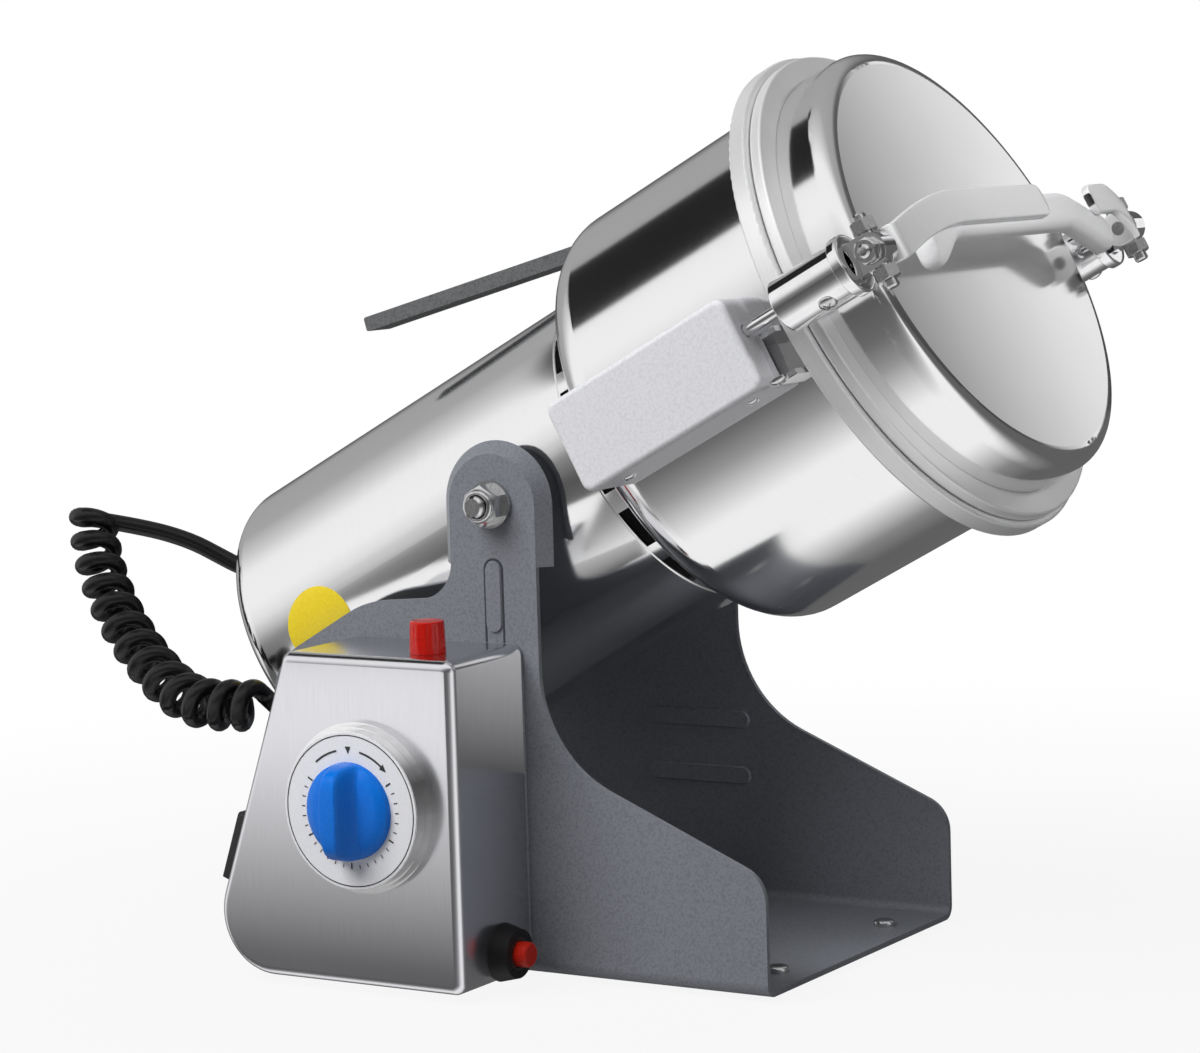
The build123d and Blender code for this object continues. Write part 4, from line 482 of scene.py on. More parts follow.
def turned(profile: np.ndarray | Profile, centre: np.ndarray, axis: np.ndarray, sides: int = 64) -> Surface:
    """Carry a profile round an axis: height along it, radius from it.

    Args:
        profile: columns of height and radius; a closed ring's first and last rows are the same.
        centre: the point on the axis at height nought.
        axis: the axis.
        sides: divisions of the turn.

    Returns:
        The surface.
    """
    profile = np.asarray(profile, float)
    points = centre + profile[:, :1, None] * axis + profile[:, 1:, None] * spokes(axis, around(sides))
    return Surface.from_grid(points, wrap_columns=True)


def hexagon(centre: np.ndarray, axis: np.ndarray, across: float, height: float, bore: float) -> Surface:
    """Make a hexagon nut or head.

    The flats' radius is half the width over the cosine of the angle from the flat's middle, and the top
    corners fall by a chamfer.

    Args:
        centre: the middle of its seat.
        axis: the way it faces.
        across: width across the flats.
        height: its height.
        bore: radius of its hole, or nought for a head.

    Returns:
        The surface.
    """
    sides = 72
    chamfer, flat_share = math.radians(30.0), 0.475
    hole_foot, hole_taper = 0.2, 0.98
    angle = around(sides)
    fold = np.mod(angle, ROUND / 6) - ROUND / 12
    outer = 0.5 * across / np.cos(fold)
    level = np.full(sides, 1.0)
    flat, top, hole = flat_share * across * level, height * level, bore * level
    fall = (outer - flat) * math.tan(chamfer)
    heights = np.stack([0.0 * level, 0.0 * level, height - fall, top, top, hole_foot * top])
    radii = np.stack([hole, outer, outer, flat, hole, hole_taper * hole])
    points = centre + heights[..., None] * axis + radii[..., None] * spokes(axis, angle)
    return Surface.from_grid(points, wrap_columns=True)


def cross_screw(centre: np.ndarray, axis: np.ndarray, radius: float, height: float) -> Surface:
    """Make a domed screw head with a cross recess.

    The dome's height is the root of one less the radius squared, and it is sunk where a point lies within
    either arm of a cross, whose measures are shares of the head's radius.

    Args:
        centre: the middle of its seat.
        axis: the way it faces.
        radius: the head's radius.
        height: the dome's height.

    Returns:
        The surface.
    """
    arm_half, arm_wall = 0.13, 0.05
    arm_reach, arm_end = 0.6, 0.08
    sunk, skirt_depth = 0.6, 0.5
    reach, angle = np.meshgrid(np.linspace(0.0, 1.0, 34), around(96), indexing="ij")
    a, b = np.abs(reach * np.cos(angle)), np.abs(reach * np.sin(angle))
    dome = height * np.sqrt(np.clip(1.02 - reach ** 2, 0.0, 1.0))
    inside = np.clip((arm_half - np.minimum(a, b)) / arm_wall, 0.0, 1.0)
    inside = inside * np.clip((arm_reach - np.maximum(a, b)) / arm_end, 0.0, 1.0)
    lift = dome - sunk * height * inside
    spoke = spokes(axis, angle)
    top = centre + lift[..., None] * axis + (radius * reach)[..., None] * spoke
    skirt = centre - skirt_depth * axis + radius * spoke[-1:]
    return Surface.from_grid(np.concatenate([top, skirt]), wrap_columns=True)


def ring_section(low: np.ndarray, high: np.ndarray, below: np.ndarray | float, above: np.ndarray | float,
                 corner: np.ndarray | float, steps: int = 5) -> np.ndarray:
    """Draw a rounded rectangle at each station of a path: corner arcs about the four inset corners.

    Args:
        low, high: the rectangle's reach across, one value a station.
        below, above: its reach through the thickness, one value a station or one for all.
        corner: the corner radius, given in the same way.
        steps: points on each corner arc, less one.

    Returns:
        Stations by ring points by two.
    """
    low, high, below, above, corner = np.broadcast_arrays(low, high, below, above, corner)
    quarter = np.linspace(0.0, math.pi / 2, steps + 1)
    angle = np.concatenate([quarter + k * math.pi / 2 for k in range(4)])
    sign_a = np.repeat([1.0, -1.0, -1.0, 1.0], steps + 1)
    sign_b = np.repeat([1.0, 1.0, -1.0, -1.0], steps + 1)
    middle_a, middle_b = 0.5 * (low + high), 0.5 * (below + above)
    half_a, half_b = 0.5 * (high - low) - corner, 0.5 * (above - below) - corner
    a = middle_a[:, None] + sign_a * half_a[:, None] + corner[:, None] * np.cos(angle)
    b = middle_b[:, None] + sign_b * half_b[:, None] + corner[:, None] * np.sin(angle)
    return np.stack([a, b], axis=-1)


def carried(path: np.ndarray, across: np.ndarray, through: np.ndarray, rings: np.ndarray) -> Surface:
    """Carry rings along a path and close both ends with a pole.

    Args:
        path: the stations.
        across, through: the directions of a ring's two columns at each station.
        rings: stations by ring points by two.

    Returns:
        The closed surface.
    """
    points = path[:, None] + rings[..., :1] * across[:, None] + rings[..., 1:] * through[:, None]
    ends = [np.repeat(points[k:k + 1].mean(axis=1, keepdims=True), points.shape[1], axis=1) for k in (0, -1)]
    return Surface.from_grid(np.concatenate([ends[0], points, ends[1]]), wrap_columns=True)


@dataclass
class CurlyCord:
    """The cord from the barrel's gland to the box: a plain lead, then a coiled stretch.

    The curls follow the route's own spline, evenly spaced on the upright plane that the coil hangs along. A
    curl's point stands off the spline by the coil's radius, turned back a full turn for each curl from where
    the coil begins.
    """

    lead: np.ndarray = array_field(
        (-149.2, -2.2, 131.2), (-160.0, -6.3, 134.2), (-168.7, -10.0, 139.2), (-177.0, -15.5, 145.1),
        (-186.2, -22.0, 149.5), (-194.0, -29.0, 152.4), (-202.2, -36.0, 154.9))
    route: np.ndarray = array_field(
        (-201.2, -48.0, 160.2), (-200.0, -50.0, 156.4), (-198.0, -52.0, 150.0), (-194.3, -55.0, 143.0),
        (-189.5, -58.0, 135.7), (-183.6, -61.0, 128.1), (-176.3, -65.0, 121.5), (-168.1, -69.0, 115.1),
        (-158.0, -74.0, 108.8), (-145.4, -81.0, 103.2), (-131.3, -89.0, 98.9), (-117.4, -96.0, 96.8),
        (-105.0, -98.0, 96.4), (-90.5, -95.5, 97.0))
    ending: np.ndarray = array_field(
        (-90.6, -89.0, 99.4), (-88.7, -88.4, 97.5), (-86.0, -89.2, 96.1), (-82.6, -91.1, 95.8),
        (-79.0, -93.3, 96.9), (-74.8, -95.0, 98.9))
    curls: float = 12.6875
    curl_radius: float = 6.6
    curl_start: float = math.radians(-70.0)
    hang: np.ndarray = array_field(0.523, -0.852, 0.0)
    curl_side: np.ndarray = array_field(0.4, 0.9, 0.0)
    points_each: int = 16
    diameter: float = 6.5
    sides: int = 14
    sides_guide: np.ndarray = array_field(0.31, -0.52, 0.79)
    route_steps: int = 12
    line_steps: int = 4
    swing_start: float = -40.0
    swing_end: float = -2.2

    @staticmethod
    def _spline(points: np.ndarray, steps: int) -> np.ndarray:
        """Read the points of the smooth spline that has some points as its control points.

        Args:
            points: the control points.
            steps: points read for each of them.

        Returns:
            The points along the spline.
        """
        curve = bpy.data.curves.new("cord_line", "CURVE")
        curve.dimensions = "3D"
        curve.resolution_u = steps
        line = curve.splines.new("NURBS")
        line.points.add(len(points) - 1)
        line.points.foreach_set("co", np.column_stack([points, np.ones(len(points))]).ravel())
        line.order_u = 3
        line.use_endpoint_u = True
        holder = add_object("cord_line", curve)
        mesh = bpy.data.meshes.new_from_object(holder)
        read = np.empty(3 * len(mesh.vertices))
        mesh.vertices.foreach_get("co", read)
        bpy.data.objects.remove(holder)
        bpy.data.curves.remove(curve)
        bpy.data.meshes.remove(mesh)
        return read.reshape(-1, 3)

    @staticmethod
    def _axes(line: np.ndarray, guide: np.ndarray) -> tuple[np.ndarray, np.ndarray]:
        """Give the way that a line runs at its points, and the direction square to it nearest to a guide.

        Args:
            line: the line's points.
            guide: a direction that the line does not run along.

        Returns:
            Two arrays of unit vectors.
        """
        forward = unit_rows(np.gradient(line, axis=0))
        return forward, unit_rows(guide - forward * (forward @ guide)[:, None])

    def _curled(self) -> np.ndarray:
        """Wind the curls round the route's spline.

        Returns:
            The curls' points.
        """
        spine = self._spline(self.route, self.route_steps)
        along = lengths_along(spine - np.outer(spine @ self.hang, self.hang))
        turns = np.arange(round(self.curls * self.points_each) + 1) / self.points_each
        share = turns / self.curls * along[-1]
        centre = np.column_stack([np.interp(share, along, spine[:, k]) for k in range(3)])
        forward, across = self._axes(centre, self.curl_side)
        angle = (self.curl_start - ROUND * turns)[:, None]
        out = across * np.cos(angle) + np.cross(forward, across) * np.sin(angle)
        return centre + self.curl_radius * out

    def _tube(self, line: np.ndarray) -> Surface:
        """Carry a circle along the cord's line, on axes square to it that turn with the line's own bend.

        Args:
            line: the cord's points.

        Returns:
            The tube.
        """
        forward, up = self._axes(line, self.sides_guide)
        angle = around(self.sides)
        ring = 0.5 * self.diameter * np.stack([np.cos(angle), np.sin(angle)], axis=-1)
        return carried(line, up, np.cross(forward, up), np.broadcast_to(ring, (len(line), self.sides, 2)))

    def build(self) -> None:
        control = np.concatenate([self.lead, self._curled(), self.ending])
        line = self._spline(control, self.line_steps)
        cord = self._tube(line).piece("curly_cord", None, CORD_JACKET, crease=60.0)
        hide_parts("cord_lead", "cord_coil")
        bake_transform(cord)


@dataclass
class Latch:
    """The lid's side sleeves with their screws, and the bolts through the knuckles above them.

    The rows of a bolt's profile are height along it and radius.
    """

    reach: float = 101.5
    rise: float = -1.5
    radius: float = 9.5
    bore: float = 6.0
    bottom: float = 154.0
    top: float = 184.0
    lip: float = 1.2
    lip_height: float = 4.0
    floor: float = 3.0
    hole: float = 2.3
    hinge: float = 192.0
    knuckle_width: float = 8.0
    washer: Profile = ((0.0, 2.4), (0.0, 4.3), (0.8, 4.3), (0.8, 2.4))
    crown: Profile = ((0.0, 2.3), (4.0, 2.3), (4.7, 1.5), (4.9, 0.0))
    shank: Profile = ((-11.5, 0.0), (-11.5, 2.45), (0.5, 2.45), (0.5, 0.0))
    head_seat: float = 0.8
    head_across: float = 7.8
    head_height: float = 2.6
    head_bore: float = 2.2
    cross_shank: Profile = ((-13.6, 0.0), (-13.6, 2.1), (-13.0, 2.5), (12.4, 2.5), (13.0, 2.1), (13.0, 0.0))
    nut_seat: float = 6.4
    nut_across: float = 8.0
    nut_height: float = 4.4
    nut_bore: float = 2.3
    screw_along: float = 171.0
    screw_lean: float = math.radians(57.0)
    screw_radius: float = 3.2
    screw_height: float = 1.6
    screw_sink: float = 0.2

    def _sleeve(self, side: Side) -> Surface:
        """Turn one sleeve: a tube with a drilled floor, a rolled lip at its top and softened rims.

        Args:
            side: the side that it stands on.

        Returns:
            The closed surface.
        """
        inside, under_lip, rim = self.bottom + self.floor, self.top - self.lip_height, self.radius + self.lip
        corners = [(self.bottom, self.hole), (self.bottom, self.radius), (under_lip, self.radius),
                   (under_lip, rim), (self.top, rim), (self.top, self.bore), (inside, self.bore),
                   (inside, self.hole), (self.bottom, self.hole)]
        profile = rounded(np.array(corners), np.array([1.0, 0.3, 0.5, 1.4, 0.5, 0.2, 0.1]))
        return turned(profile, head_point(0.0, side.value * self.reach, self.rise), AXIS, sides=72)

    def _bolt(self, side: Side) -> list[Surface]:
        """Make one hinge bolt: its shank through the knuckle, a washer and a hexagon head with a crowned end.

        Args:
            side: the side of its knuckle.

        Returns:
            Its parts.
        """
        out = side.value * ACROSS
        seat = head_point(self.hinge, side.value * (self.reach + 0.5 * self.knuckle_width), self.rise)
        washer = turned(rounded(np.array(self.washer), np.array([0.2, 0.3])), seat, out, sides=48)
        head = hexagon(seat + self.head_seat * out, out, self.head_across, self.head_height, self.head_bore)
        crown, shank = (turned(profile, seat, out, sides=36) for profile in (self.crown, self.shank))
        return [washer, head, crown, shank]

    def _cross_bolt(self, side: Side) -> list[Surface]:
        """Make one bolt through a knuckle along the rise, with a nut at each end.

        Args:
            side: the side of its knuckle.

        Returns:
            Its parts.
        """
        middle = head_point(self.hinge, side.value * self.reach, self.rise)
        nuts = [hexagon(middle + self.nut_seat * way, way, self.nut_across, self.nut_height, self.nut_bore)
                for way in (RISE, -RISE)]
        return [turned(self.cross_shank, middle, RISE, sides=36), *nuts]

    def _screw(self, side: Side) -> Surface:
        """Set one sleeve screw on the sleeve's lower outer side.

        Args:
            side: the side of its sleeve.

        Returns:
            Its head.
        """
        out = side.value * math.cos(self.screw_lean) * ACROSS - math.sin(self.screw_lean) * RISE
        middle = head_point(self.screw_along, side.value * self.reach, self.rise)
        centre = middle + (self.radius - self.screw_sink) * out
        return cross_screw(centre, out, self.screw_radius, self.screw_height)

    def build(self) -> None:
        """Make the sleeves, the hinge bolts and cross bolts, and the sleeve screws."""
        sleeves = Surface.together([self._sleeve(side) for side in Side]).piece("side_sleeves", "lid", CHROME)
        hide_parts("lid_sleeves")
        bolts = [part for side in Side for part in self._bolt(side) + self._cross_bolt(side)]
        hinge = Surface.together(bolts).piece("knuckle_bolts", "lid", FASTENERS, crease=30.0)
        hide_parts("hinge_bolts")
        heads = [self._screw(side) for side in Side]
        screws = Surface.together(heads).piece("sleeve_screws", "lid", FASTENERS, crease=50.0)


@dataclass
class Handle:
    """The folding handle: a bent strap, a clip at the far end and the moulded grip under them.

    In plan the strap and the clip lean from their hinge ears out to their own edges, and the grip is a bow
    whose feet drop back towards the hinge line. A rounding's pair is its run along the bar and its depth.
    """

    thickness: float = 3.0
    ear_inner: float = 94.2
    ear_low: float = 185.5
    arm_bottom: float = 196.0
    bend: float = 5.0
    arm_end: float = 28.0
    arm_bow: float = 38.0
    arm_edges: Pair = (3.0, 15.5)
    clip_end: float = 68.0
    clip_bow: float = 82.6
    clip_edges: Pair = (2.5, 14.0)
    ear_edges: Pair = (-8.0, 5.0)
    corner: float = 3.5
    tip_left: float = 0.1
    ear_rounding: Pair = (6.5, 5.6)
    edge_round: float = 0.8
    near_reach: float = 66.0
    far_reach: float = 78.0
    foot_run: float = 28.0
    grip_edges: Pair = (0.0, 14.0)
    foot_edges: Pair = (-10.5, 5.0)
    grip_thickness: float = 9.0
    grip_corner: float = 3.6
    grip_gap: float = 0.05
    grip_rounding: Pair = (5.0, 4.5)
    grip_thinning: Pair = (7.0, 1.6)
    corner_thinning: float = 0.2

    def _strap(self, side: Side, end: float, bow: float, edges: Pair) -> Surface:
        """Carry a rounded bar from one ear over the bend to its free end.

        The bar's edges run from the ear's own to the strap's between the ear and the bow by a quarter of a
        sine wave. The ear's foot and the free end's corners are drawn in by quarter circles.

        Args:
            side: the side of its ear.
            end: where it ends, by the sign of y.
            bow: the distance across at which it has its own edges.
            edges: its own low and high edges.

        Returns:
            The closed surface.
        """
        count = 200
        half = 0.5 * self.thickness
        ear = side.value * (self.ear_inner + half)
        level = self.arm_bottom + half
        corners = np.array([(ear, self.ear_low), (ear, level), (end, level)])
        line = rounded(corners, np.array([self.bend - half]), steps=14)
        along = lengths_along(line)
        fine = np.linspace(0.0, along[-1], count)
        y, s = np.interp(fine, along, line[:, 0]), np.interp(fine, along, line[:, 1])
        slope = np.stack([np.gradient(y), np.gradient(s)])
        slope /= np.linalg.norm(slope, axis=0)
        through = -slope[1][:, None] * ACROSS + slope[0][:, None] * AXIS
        lean = np.clip((self.ear_inner - side.value * y) / (self.ear_inner - bow), 0.0, 1.0)
        lean = np.sin(0.5 * math.pi * lean)
        bite = self._quarter((along[-1] - fine) / self.corner) * (self.corner - self.tip_left)
        bite = bite + self._quarter(fine / self.ear_rounding[0]) * self.ear_rounding[1]
        lows, highs = (self.ear_edges[k] + (edges[k] - self.ear_edges[k]) * lean for k in (0, 1))
        rings = ring_section(lows + bite, highs - bite, -half, half, self.edge_round)
        return carried(head_point(s, y, 0.0), np.broadcast_to(RISE, (count, 3)), through, rings)

    @staticmethod
    def _quarter(share: np.ndarray) -> np.ndarray:
        """Give how far a quarter circle stands in from its corner: one at its end, nought past its radius."""
        return 1.0 - np.sqrt(np.clip(1.0 - np.clip(1.0 - share, 0.0, 1.0) ** 2, 0.0, 1.0))

    def _grip(self) -> Surface:
        """Carry a softly rounded bar across the lid in a bow.

        Between the feet's ends and the bow, both edges run from the feet's to the bow's own by a smooth step,
        and the ends are drawn in by quarter circles.

        Returns:
            The closed surface.
        """
        count = 240
        y = np.linspace(-self.near_reach, self.far_reach, count)
        left = np.minimum(y + self.near_reach, self.far_reach - y)
        share = smooth_step(np.clip(left / self.foot_run, 0.0, 1.0))
        tip = self.grip_rounding[1] * self._quarter(left / self.grip_rounding[0])
        lows, highs = (self.foot_edges[k] + (self.grip_edges[k] - self.foot_edges[k]) * share for k in (0, 1))
        thin = self.grip_thinning[1] * self._quarter(left / self.grip_thinning[0])
        rings = ring_section(lows + tip, highs - tip, thin - self.grip_thickness, -self.grip_gap,
                             self.grip_corner * (1.0 - self.corner_thinning * thin), steps=7)
        return carried(head_point(self.arm_bottom, y, 0.0), np.broadcast_to(RISE, (count, 3)),
                       np.broadcast_to(AXIS, (count, 3)), rings)

    def build(self) -> None:
        """Make the strap, the clip and the grip in place of their solids."""
        arm = self._strap(Side.NEAR, self.arm_end, self.arm_bow, self.arm_edges)
        clip = self._strap(Side.FAR, self.clip_end, self.clip_bow, self.clip_edges)
        for name, surface, node, finish in (("strap", arm, "handle_arm", SATIN_STRAP),
                                            ("fold", clip, "handle_clip", SATIN_STRAP),
                                            ("grip", self._grip(), "handle_grip", GRIP_PLASTIC)):
            piece = surface.piece(name, "handle", finish, crease=50.0)
            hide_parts(node)


@dataclass
class RimBand:
    """The satin band rolled round the lid's rim."""

    bottom: float = 152.9
    top: float = 157.4
    inner: float = 82.55
    outer: float = 91.08
    proud: float = 0.06

    def build(self) -> None:
        """Turn the band: out along the rim's top, over its rounded edges and in again below."""
        top, bottom = self.top + self.proud, self.bottom - self.proud
        corners = np.array([(top, self.inner), (top, self.outer), (bottom, self.outer), (bottom, self.inner),
                            (top, self.inner)])
        band = turned(rounded(corners, np.array([1.0, 1.0, 0.02])), PIVOT, AXIS, sides=180)
        piece = band.piece("rim_band", "lid", SATIN_RING)


@dataclass
class PivotNuts:
    """The locking nuts on the swing pivot, with their collars."""

    seat: float = 74.4
    across: float = 13.0
    height: float = 6.0
    collar: float = 12.0
    collar_height: float = 2.0
    collar_sink: float = 0.6
    bore: float = 4.0
    bore_chamfer: float = 0.3

    def build(self) -> None:
        """Make both nuts: a chamfered hexagon under a rolled collar."""
        foot, top = self.height - self.collar_sink, self.height + self.collar_height
        outer = 0.5 * self.collar
        corners = np.array([(foot, self.bore), (foot, outer), (top, outer),
                            (top, self.bore + self.bore_chamfer), (self.height, self.bore)])
        profile = rounded(corners, np.array([0.1, 1.2, 0.5]))
        parts = []
        for side in Side:
            out = side.value * ACROSS
            seat = PIVOT + side.value * self.seat * ACROSS
            nut = hexagon(seat, out, self.across, self.height, self.bore)
            parts += [nut, turned(profile, seat, out, sides=60)]
        nuts = Surface.together(parts).piece("locking_nuts", "head", FASTENERS, crease=30.0)
        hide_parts("pivot_nuts")


@dataclass
class BeadShadeLine:
    """Painted shade along the crease round the near cheek's upright bead, from the box's top over its rounded
    head and back.
    """

    half: float = 3.75
    head: float = 147.6
    foot: float = 119.0
    face: float = -72.5
    line: float = 0.45
    sides: int = 10

    def build(self) -> None:
        """Carry a thin round line of painted shade along the bead's edge: two uprights joined by a half
        circle.
        """
        turn = np.linspace(0.0, math.pi, 40)
        rise = np.linspace(self.foot, self.head, 30)
        upright = np.full(len(rise), self.half)
        x = np.concatenate([upright, self.half * np.cos(turn), -upright])
        z = np.concatenate([rise, self.head + self.half * np.sin(turn), rise[::-1]])
        keep = np.append(True, np.hypot(np.diff(x), np.diff(z)) > 1e-6)
        x, z = x[keep], z[keep]
        path = np.stack([x, np.full(len(x), self.face), z], axis=-1)
        side = np.cross(unit_rows(np.gradient(path, axis=0)), -ACROSS)
        angle = around(self.sides)
        ring = np.stack([self.line * np.cos(angle), 0.5 * self.line * np.sin(angle)], axis=-1)
        rings = np.broadcast_to(ring, (len(x), self.sides, 2))
        # This line is painted shade: its near-black finish stands in for the shade in the bead's groove.
        crease = carried(path, side, np.broadcast_to(-ACROSS, path.shape), rings)
        piece = crease.piece("cheek_bead", "base", PAINTED_BEAD_SHADE, crease=60.0)


@dataclass
class BowlFittings:
    """Small screws on the bowl's switch housing and its lug, and the plain disc on the barrel.

    A screw's row is its place along the head, across it and up from it, its radius and its height.
    """

    disc_along: float = -96.6
    disc_turn: float = -3.0
    disc_radius: float = 15.0
    disc_lift: float = 0.18
    disc_edge: Pair = (0.12, -0.05)
    barrel_radius: float = 63.0
    screws: tuple[tuple[float, ...], ...] = (
        (141.0, -103.0, -21.6, 3.4, 1.8), (70.0, -96.0, -21.9, 2.4, 1.2), (125.0, -96.0, -21.9, 2.4, 1.2))

    def _disc(self) -> Surface:
        """Lay a thin disc on the barrel: its points' distance across is wound round the barrel as an angle.

        Returns:
            The surface.
        """
        reach, angle = np.meshgrid(np.append(np.linspace(0.0, 1.0, 14), 1.0), around(72), indexing="ij")
        lift = np.full(len(reach), self.disc_lift)
        lift[-2:] = self.disc_edge
        along = self.disc_along + self.disc_radius * reach * np.cos(angle)
        wind = math.radians(self.disc_turn) + self.disc_radius * reach * np.sin(angle) / self.barrel_radius
        out = self.barrel_radius + lift[:, None]
        points = head_point(along, -out * np.cos(wind), out * np.sin(wind))
        return Surface.from_grid(points, wrap_columns=True)

    def build(self) -> None:
        """Make the screws and the disc."""
        disc = self._disc().piece("barrel_disc", "head", YELLOW_DISC)
        heads = [cross_screw(head_point(*place), -RISE, radius, height)
                 for *place, radius, height in self.screws]
        screws = Surface.together(heads).piece("housing_screws", "head", FASTENERS, crease=50.0)


@dataclass
class ControlBox:
    """The timer's knob, its dial with the print on it, and the fluted lamp on the box's top.

    A tick's pair is its half width in degrees and its inner radius, the arc's pair is where it starts and
    ends in degrees from the top, and a line's pair is the radii of its edges. The pointer and the arrowhead
    are given by their edges' radii from one side to the other.
    """

    dial_face: float = -127.7
    centre_x: float = -26.9
    centre_z: float = 68.1
    knob_radius: float = 17.0
    knob_base: float = 5.0
    knob_height: float = 15.0
    knob_foot: float = -127.2
    bar_half: float = 5.5
    crest_half: float = 3.1
    dial_radius: float = 27.9
    dial_back: float = -125.7
    bezel_bore: float = 26.4
    bezel_lip: float = 1.75
    ticks: int = 25
    tick_start: float = 58.0
    tick_sweep: float = 244.0
    tick_outer: float = 20.6
    long_tick: Pair = (0.9, 18.4)
    short_tick: Pair = (0.55, 19.2)
    long_every: int = 6
    rim_line: Pair = (26.6, 26.95)
    arc: Pair = (13.0, 40.0)
    arc_line: Pair = (21.2, 21.9)
    arrow_tip: float = 47.0
    arrow_inner: Pair = (20.3, 21.5)
    arrow_outer: Pair = (22.8, 21.6)
    pointer_half: float = 2.8
    pointer_inner: Triple = (22.6, 20.2, 22.6)
    pointer_outer: float = 22.8
    ink_sunk: float = -0.05
    ink_proud: float = 0.12
    lamp_x: float = -9.2
    lamp_y: float = -102.0
    lamp_radius: float = 6.5
    lamp_foot: float = 121.3
    lamp_height: float = 11.5
    flutes: int = 14

    def _face_point(self, a: np.ndarray, b: np.ndarray, out: np.ndarray) -> np.ndarray:
        """Give points on the timer: a to the right, b up, out towards the front from the knob's foot."""
        a, b, out = np.broadcast_arrays(a, b, out)
        return np.stack([self.centre_x + a, self.knob_foot - out, self.centre_z + b], axis=-1)

    def _knob(self) -> Surface:
        """Raise the knob as a height over a disc: a domed base with a crowned grip bar down its middle.

        The bar's height above the base falls off across it as a smooth step from its crest to its foot, its
        half width narrows towards its ends like a boat's, and a root brings it down at the rim.

        Returns:
            The surface.
        """
        sides = 160
        rim_drop, dome, flare = 2.2, 1.2, 1.02
        wall, narrowing = 4.2, 0.45
        end_drop, side_drop, end_power = 1.6, 0.5, 3.2
        reach, angle = np.meshgrid(np.sin(np.linspace(0.0, math.pi / 2, 80)), around(sides), indexing="ij")
        a, b = self.knob_radius * reach * np.cos(angle), self.knob_radius * reach * np.sin(angle)
        ends = (b / self.knob_radius) ** 2
        flat = self.knob_base - rim_drop * reach ** 6 + dome * (1.0 - reach ** 2)
        inner = self.crest_half * (1.0 - narrowing * ends)
        ridge = 1.0 - smooth_step(np.clip((np.abs(a) - inner) / wall, 0.0, 1.0))
        crown = np.clip(1.0 - ends ** end_power, 0.0, 1.0) ** 0.5
        crest = self.knob_height - end_drop * ends - side_drop * (a / self.bar_half) ** 2 - flat
        lift = flat + np.clip(crest, 0.0, None) * ridge * crown
        top = self._face_point(a, b, lift)
        skirt = self._face_point(flare * a[-1:], flare * b[-1:], np.zeros((1, sides)))
        return Surface.from_grid(np.concatenate([top, skirt]), wrap_columns=True)

    def _dial(self) -> Surface:
        """Turn the dial: a flat face whose edge covers the bezel's lip.

        Returns:
            The surface.
        """
        face = self.dial_back - self.dial_face
        corners = np.array([(0.0, 0.0), (0.0, self.bezel_bore), (self.bezel_lip, self.bezel_bore),
                            (self.bezel_lip, self.dial_radius), (face, self.dial_radius), (face, 0.0)])
        profile = rounded(corners, np.array([0.1, 0.05, 0.05, 0.2]))
        return turned(profile, np.array([self.centre_x, self.dial_back, self.centre_z]), -ACROSS, sides=96)

    def _band(self, start: float, end: float, inner: np.ndarray, outer: np.ndarray) -> Surface:
        """Draw a curved band on the dial between two clock angles, its edges given along it.

        Args:
            start, end: degrees clockwise from the top.
            inner, outer: radii of its edges at even steps.

        Returns:
            The band, standing a little proud of the dial.
        """
        angle = np.radians(np.linspace(start, end, len(inner)))
        radius = np.stack([inner, inner, outer, outer])
        lift = np.array([self.ink_sunk, self.ink_proud, self.ink_proud, self.ink_sunk])
        out = lift[:, None] + (self.knob_foot - self.dial_face)
        return Surface.from_grid(self._face_point(radius * np.sin(angle), radius * np.cos(angle), out))

    def _marks(self) -> Surface:
        """Draw the dial's print: ticks, a pointer, an arc each side of it, one arrowhead and the rim's line.

        Returns:
            The marks.
        """
        parts = []
        for step in range(self.ticks):
            turn = self.tick_start + step * self.tick_sweep / (self.ticks - 1)
            half, inner = self.short_tick if step % self.long_every else self.long_tick
            parts.append(self._band(turn - half, turn + half, np.full(3, inner), np.full(3, self.tick_outer)))
        pointer = np.array(self.pointer_inner), np.full(3, self.pointer_outer)
        parts.append(self._band(-self.pointer_half, self.pointer_half, *pointer))
        parts.append(self._band(0.0, 360.0, *(np.full(121, radius) for radius in self.rim_line)))
        start, end = self.arc
        edges = [np.full(11, radius) for radius in self.arc_line]
        parts += [self._band(start * sign, end * sign, *edges) for sign in (-1.0, 1.0)]
        arrow = np.linspace(*self.arrow_inner, 5), np.linspace(*self.arrow_outer, 5)
        parts.append(self._band(end, self.arrow_tip, *arrow))
        return Surface.together(parts)

    def _lamp(self) -> Surface:
        """Turn the lamp's lens: a tapered cap whose radius ripples with the flutes, under a plain rim.

        Returns:
            The surface.
        """
        foot, head, depth = 0.6, 0.8, 0.05
        tall, wide = self.lamp_height, self.lamp_radius
        corners = np.array([(0.0, 0.0), (0.0, wide), (0.8 * tall, 0.95 * wide), (tall, 0.93 * wide),
                            (tall, 0.72 * wide), (tall - 0.5, 0.0)])
        profile = rounded(corners, np.array([0.2, 0.6, 0.7, 0.3]))
        angle = around(180)
        height, radius = profile[:, :1], profile[:, 1:]
        share = np.clip((height - foot) / foot, 0.0, 1.0) * np.clip((0.9 * tall - height) / head, 0.0, 1.0)
        radius = radius * (1.0 - depth * share * (1.0 - np.abs(np.sin(0.5 * self.flutes * angle))))
        x, y = self.lamp_x + radius * np.cos(angle), self.lamp_y + radius * np.sin(angle)
        points = np.stack([x, y, np.broadcast_to(self.lamp_foot + height, x.shape)], axis=-1)
        return Surface.from_grid(points, wrap_columns=True)

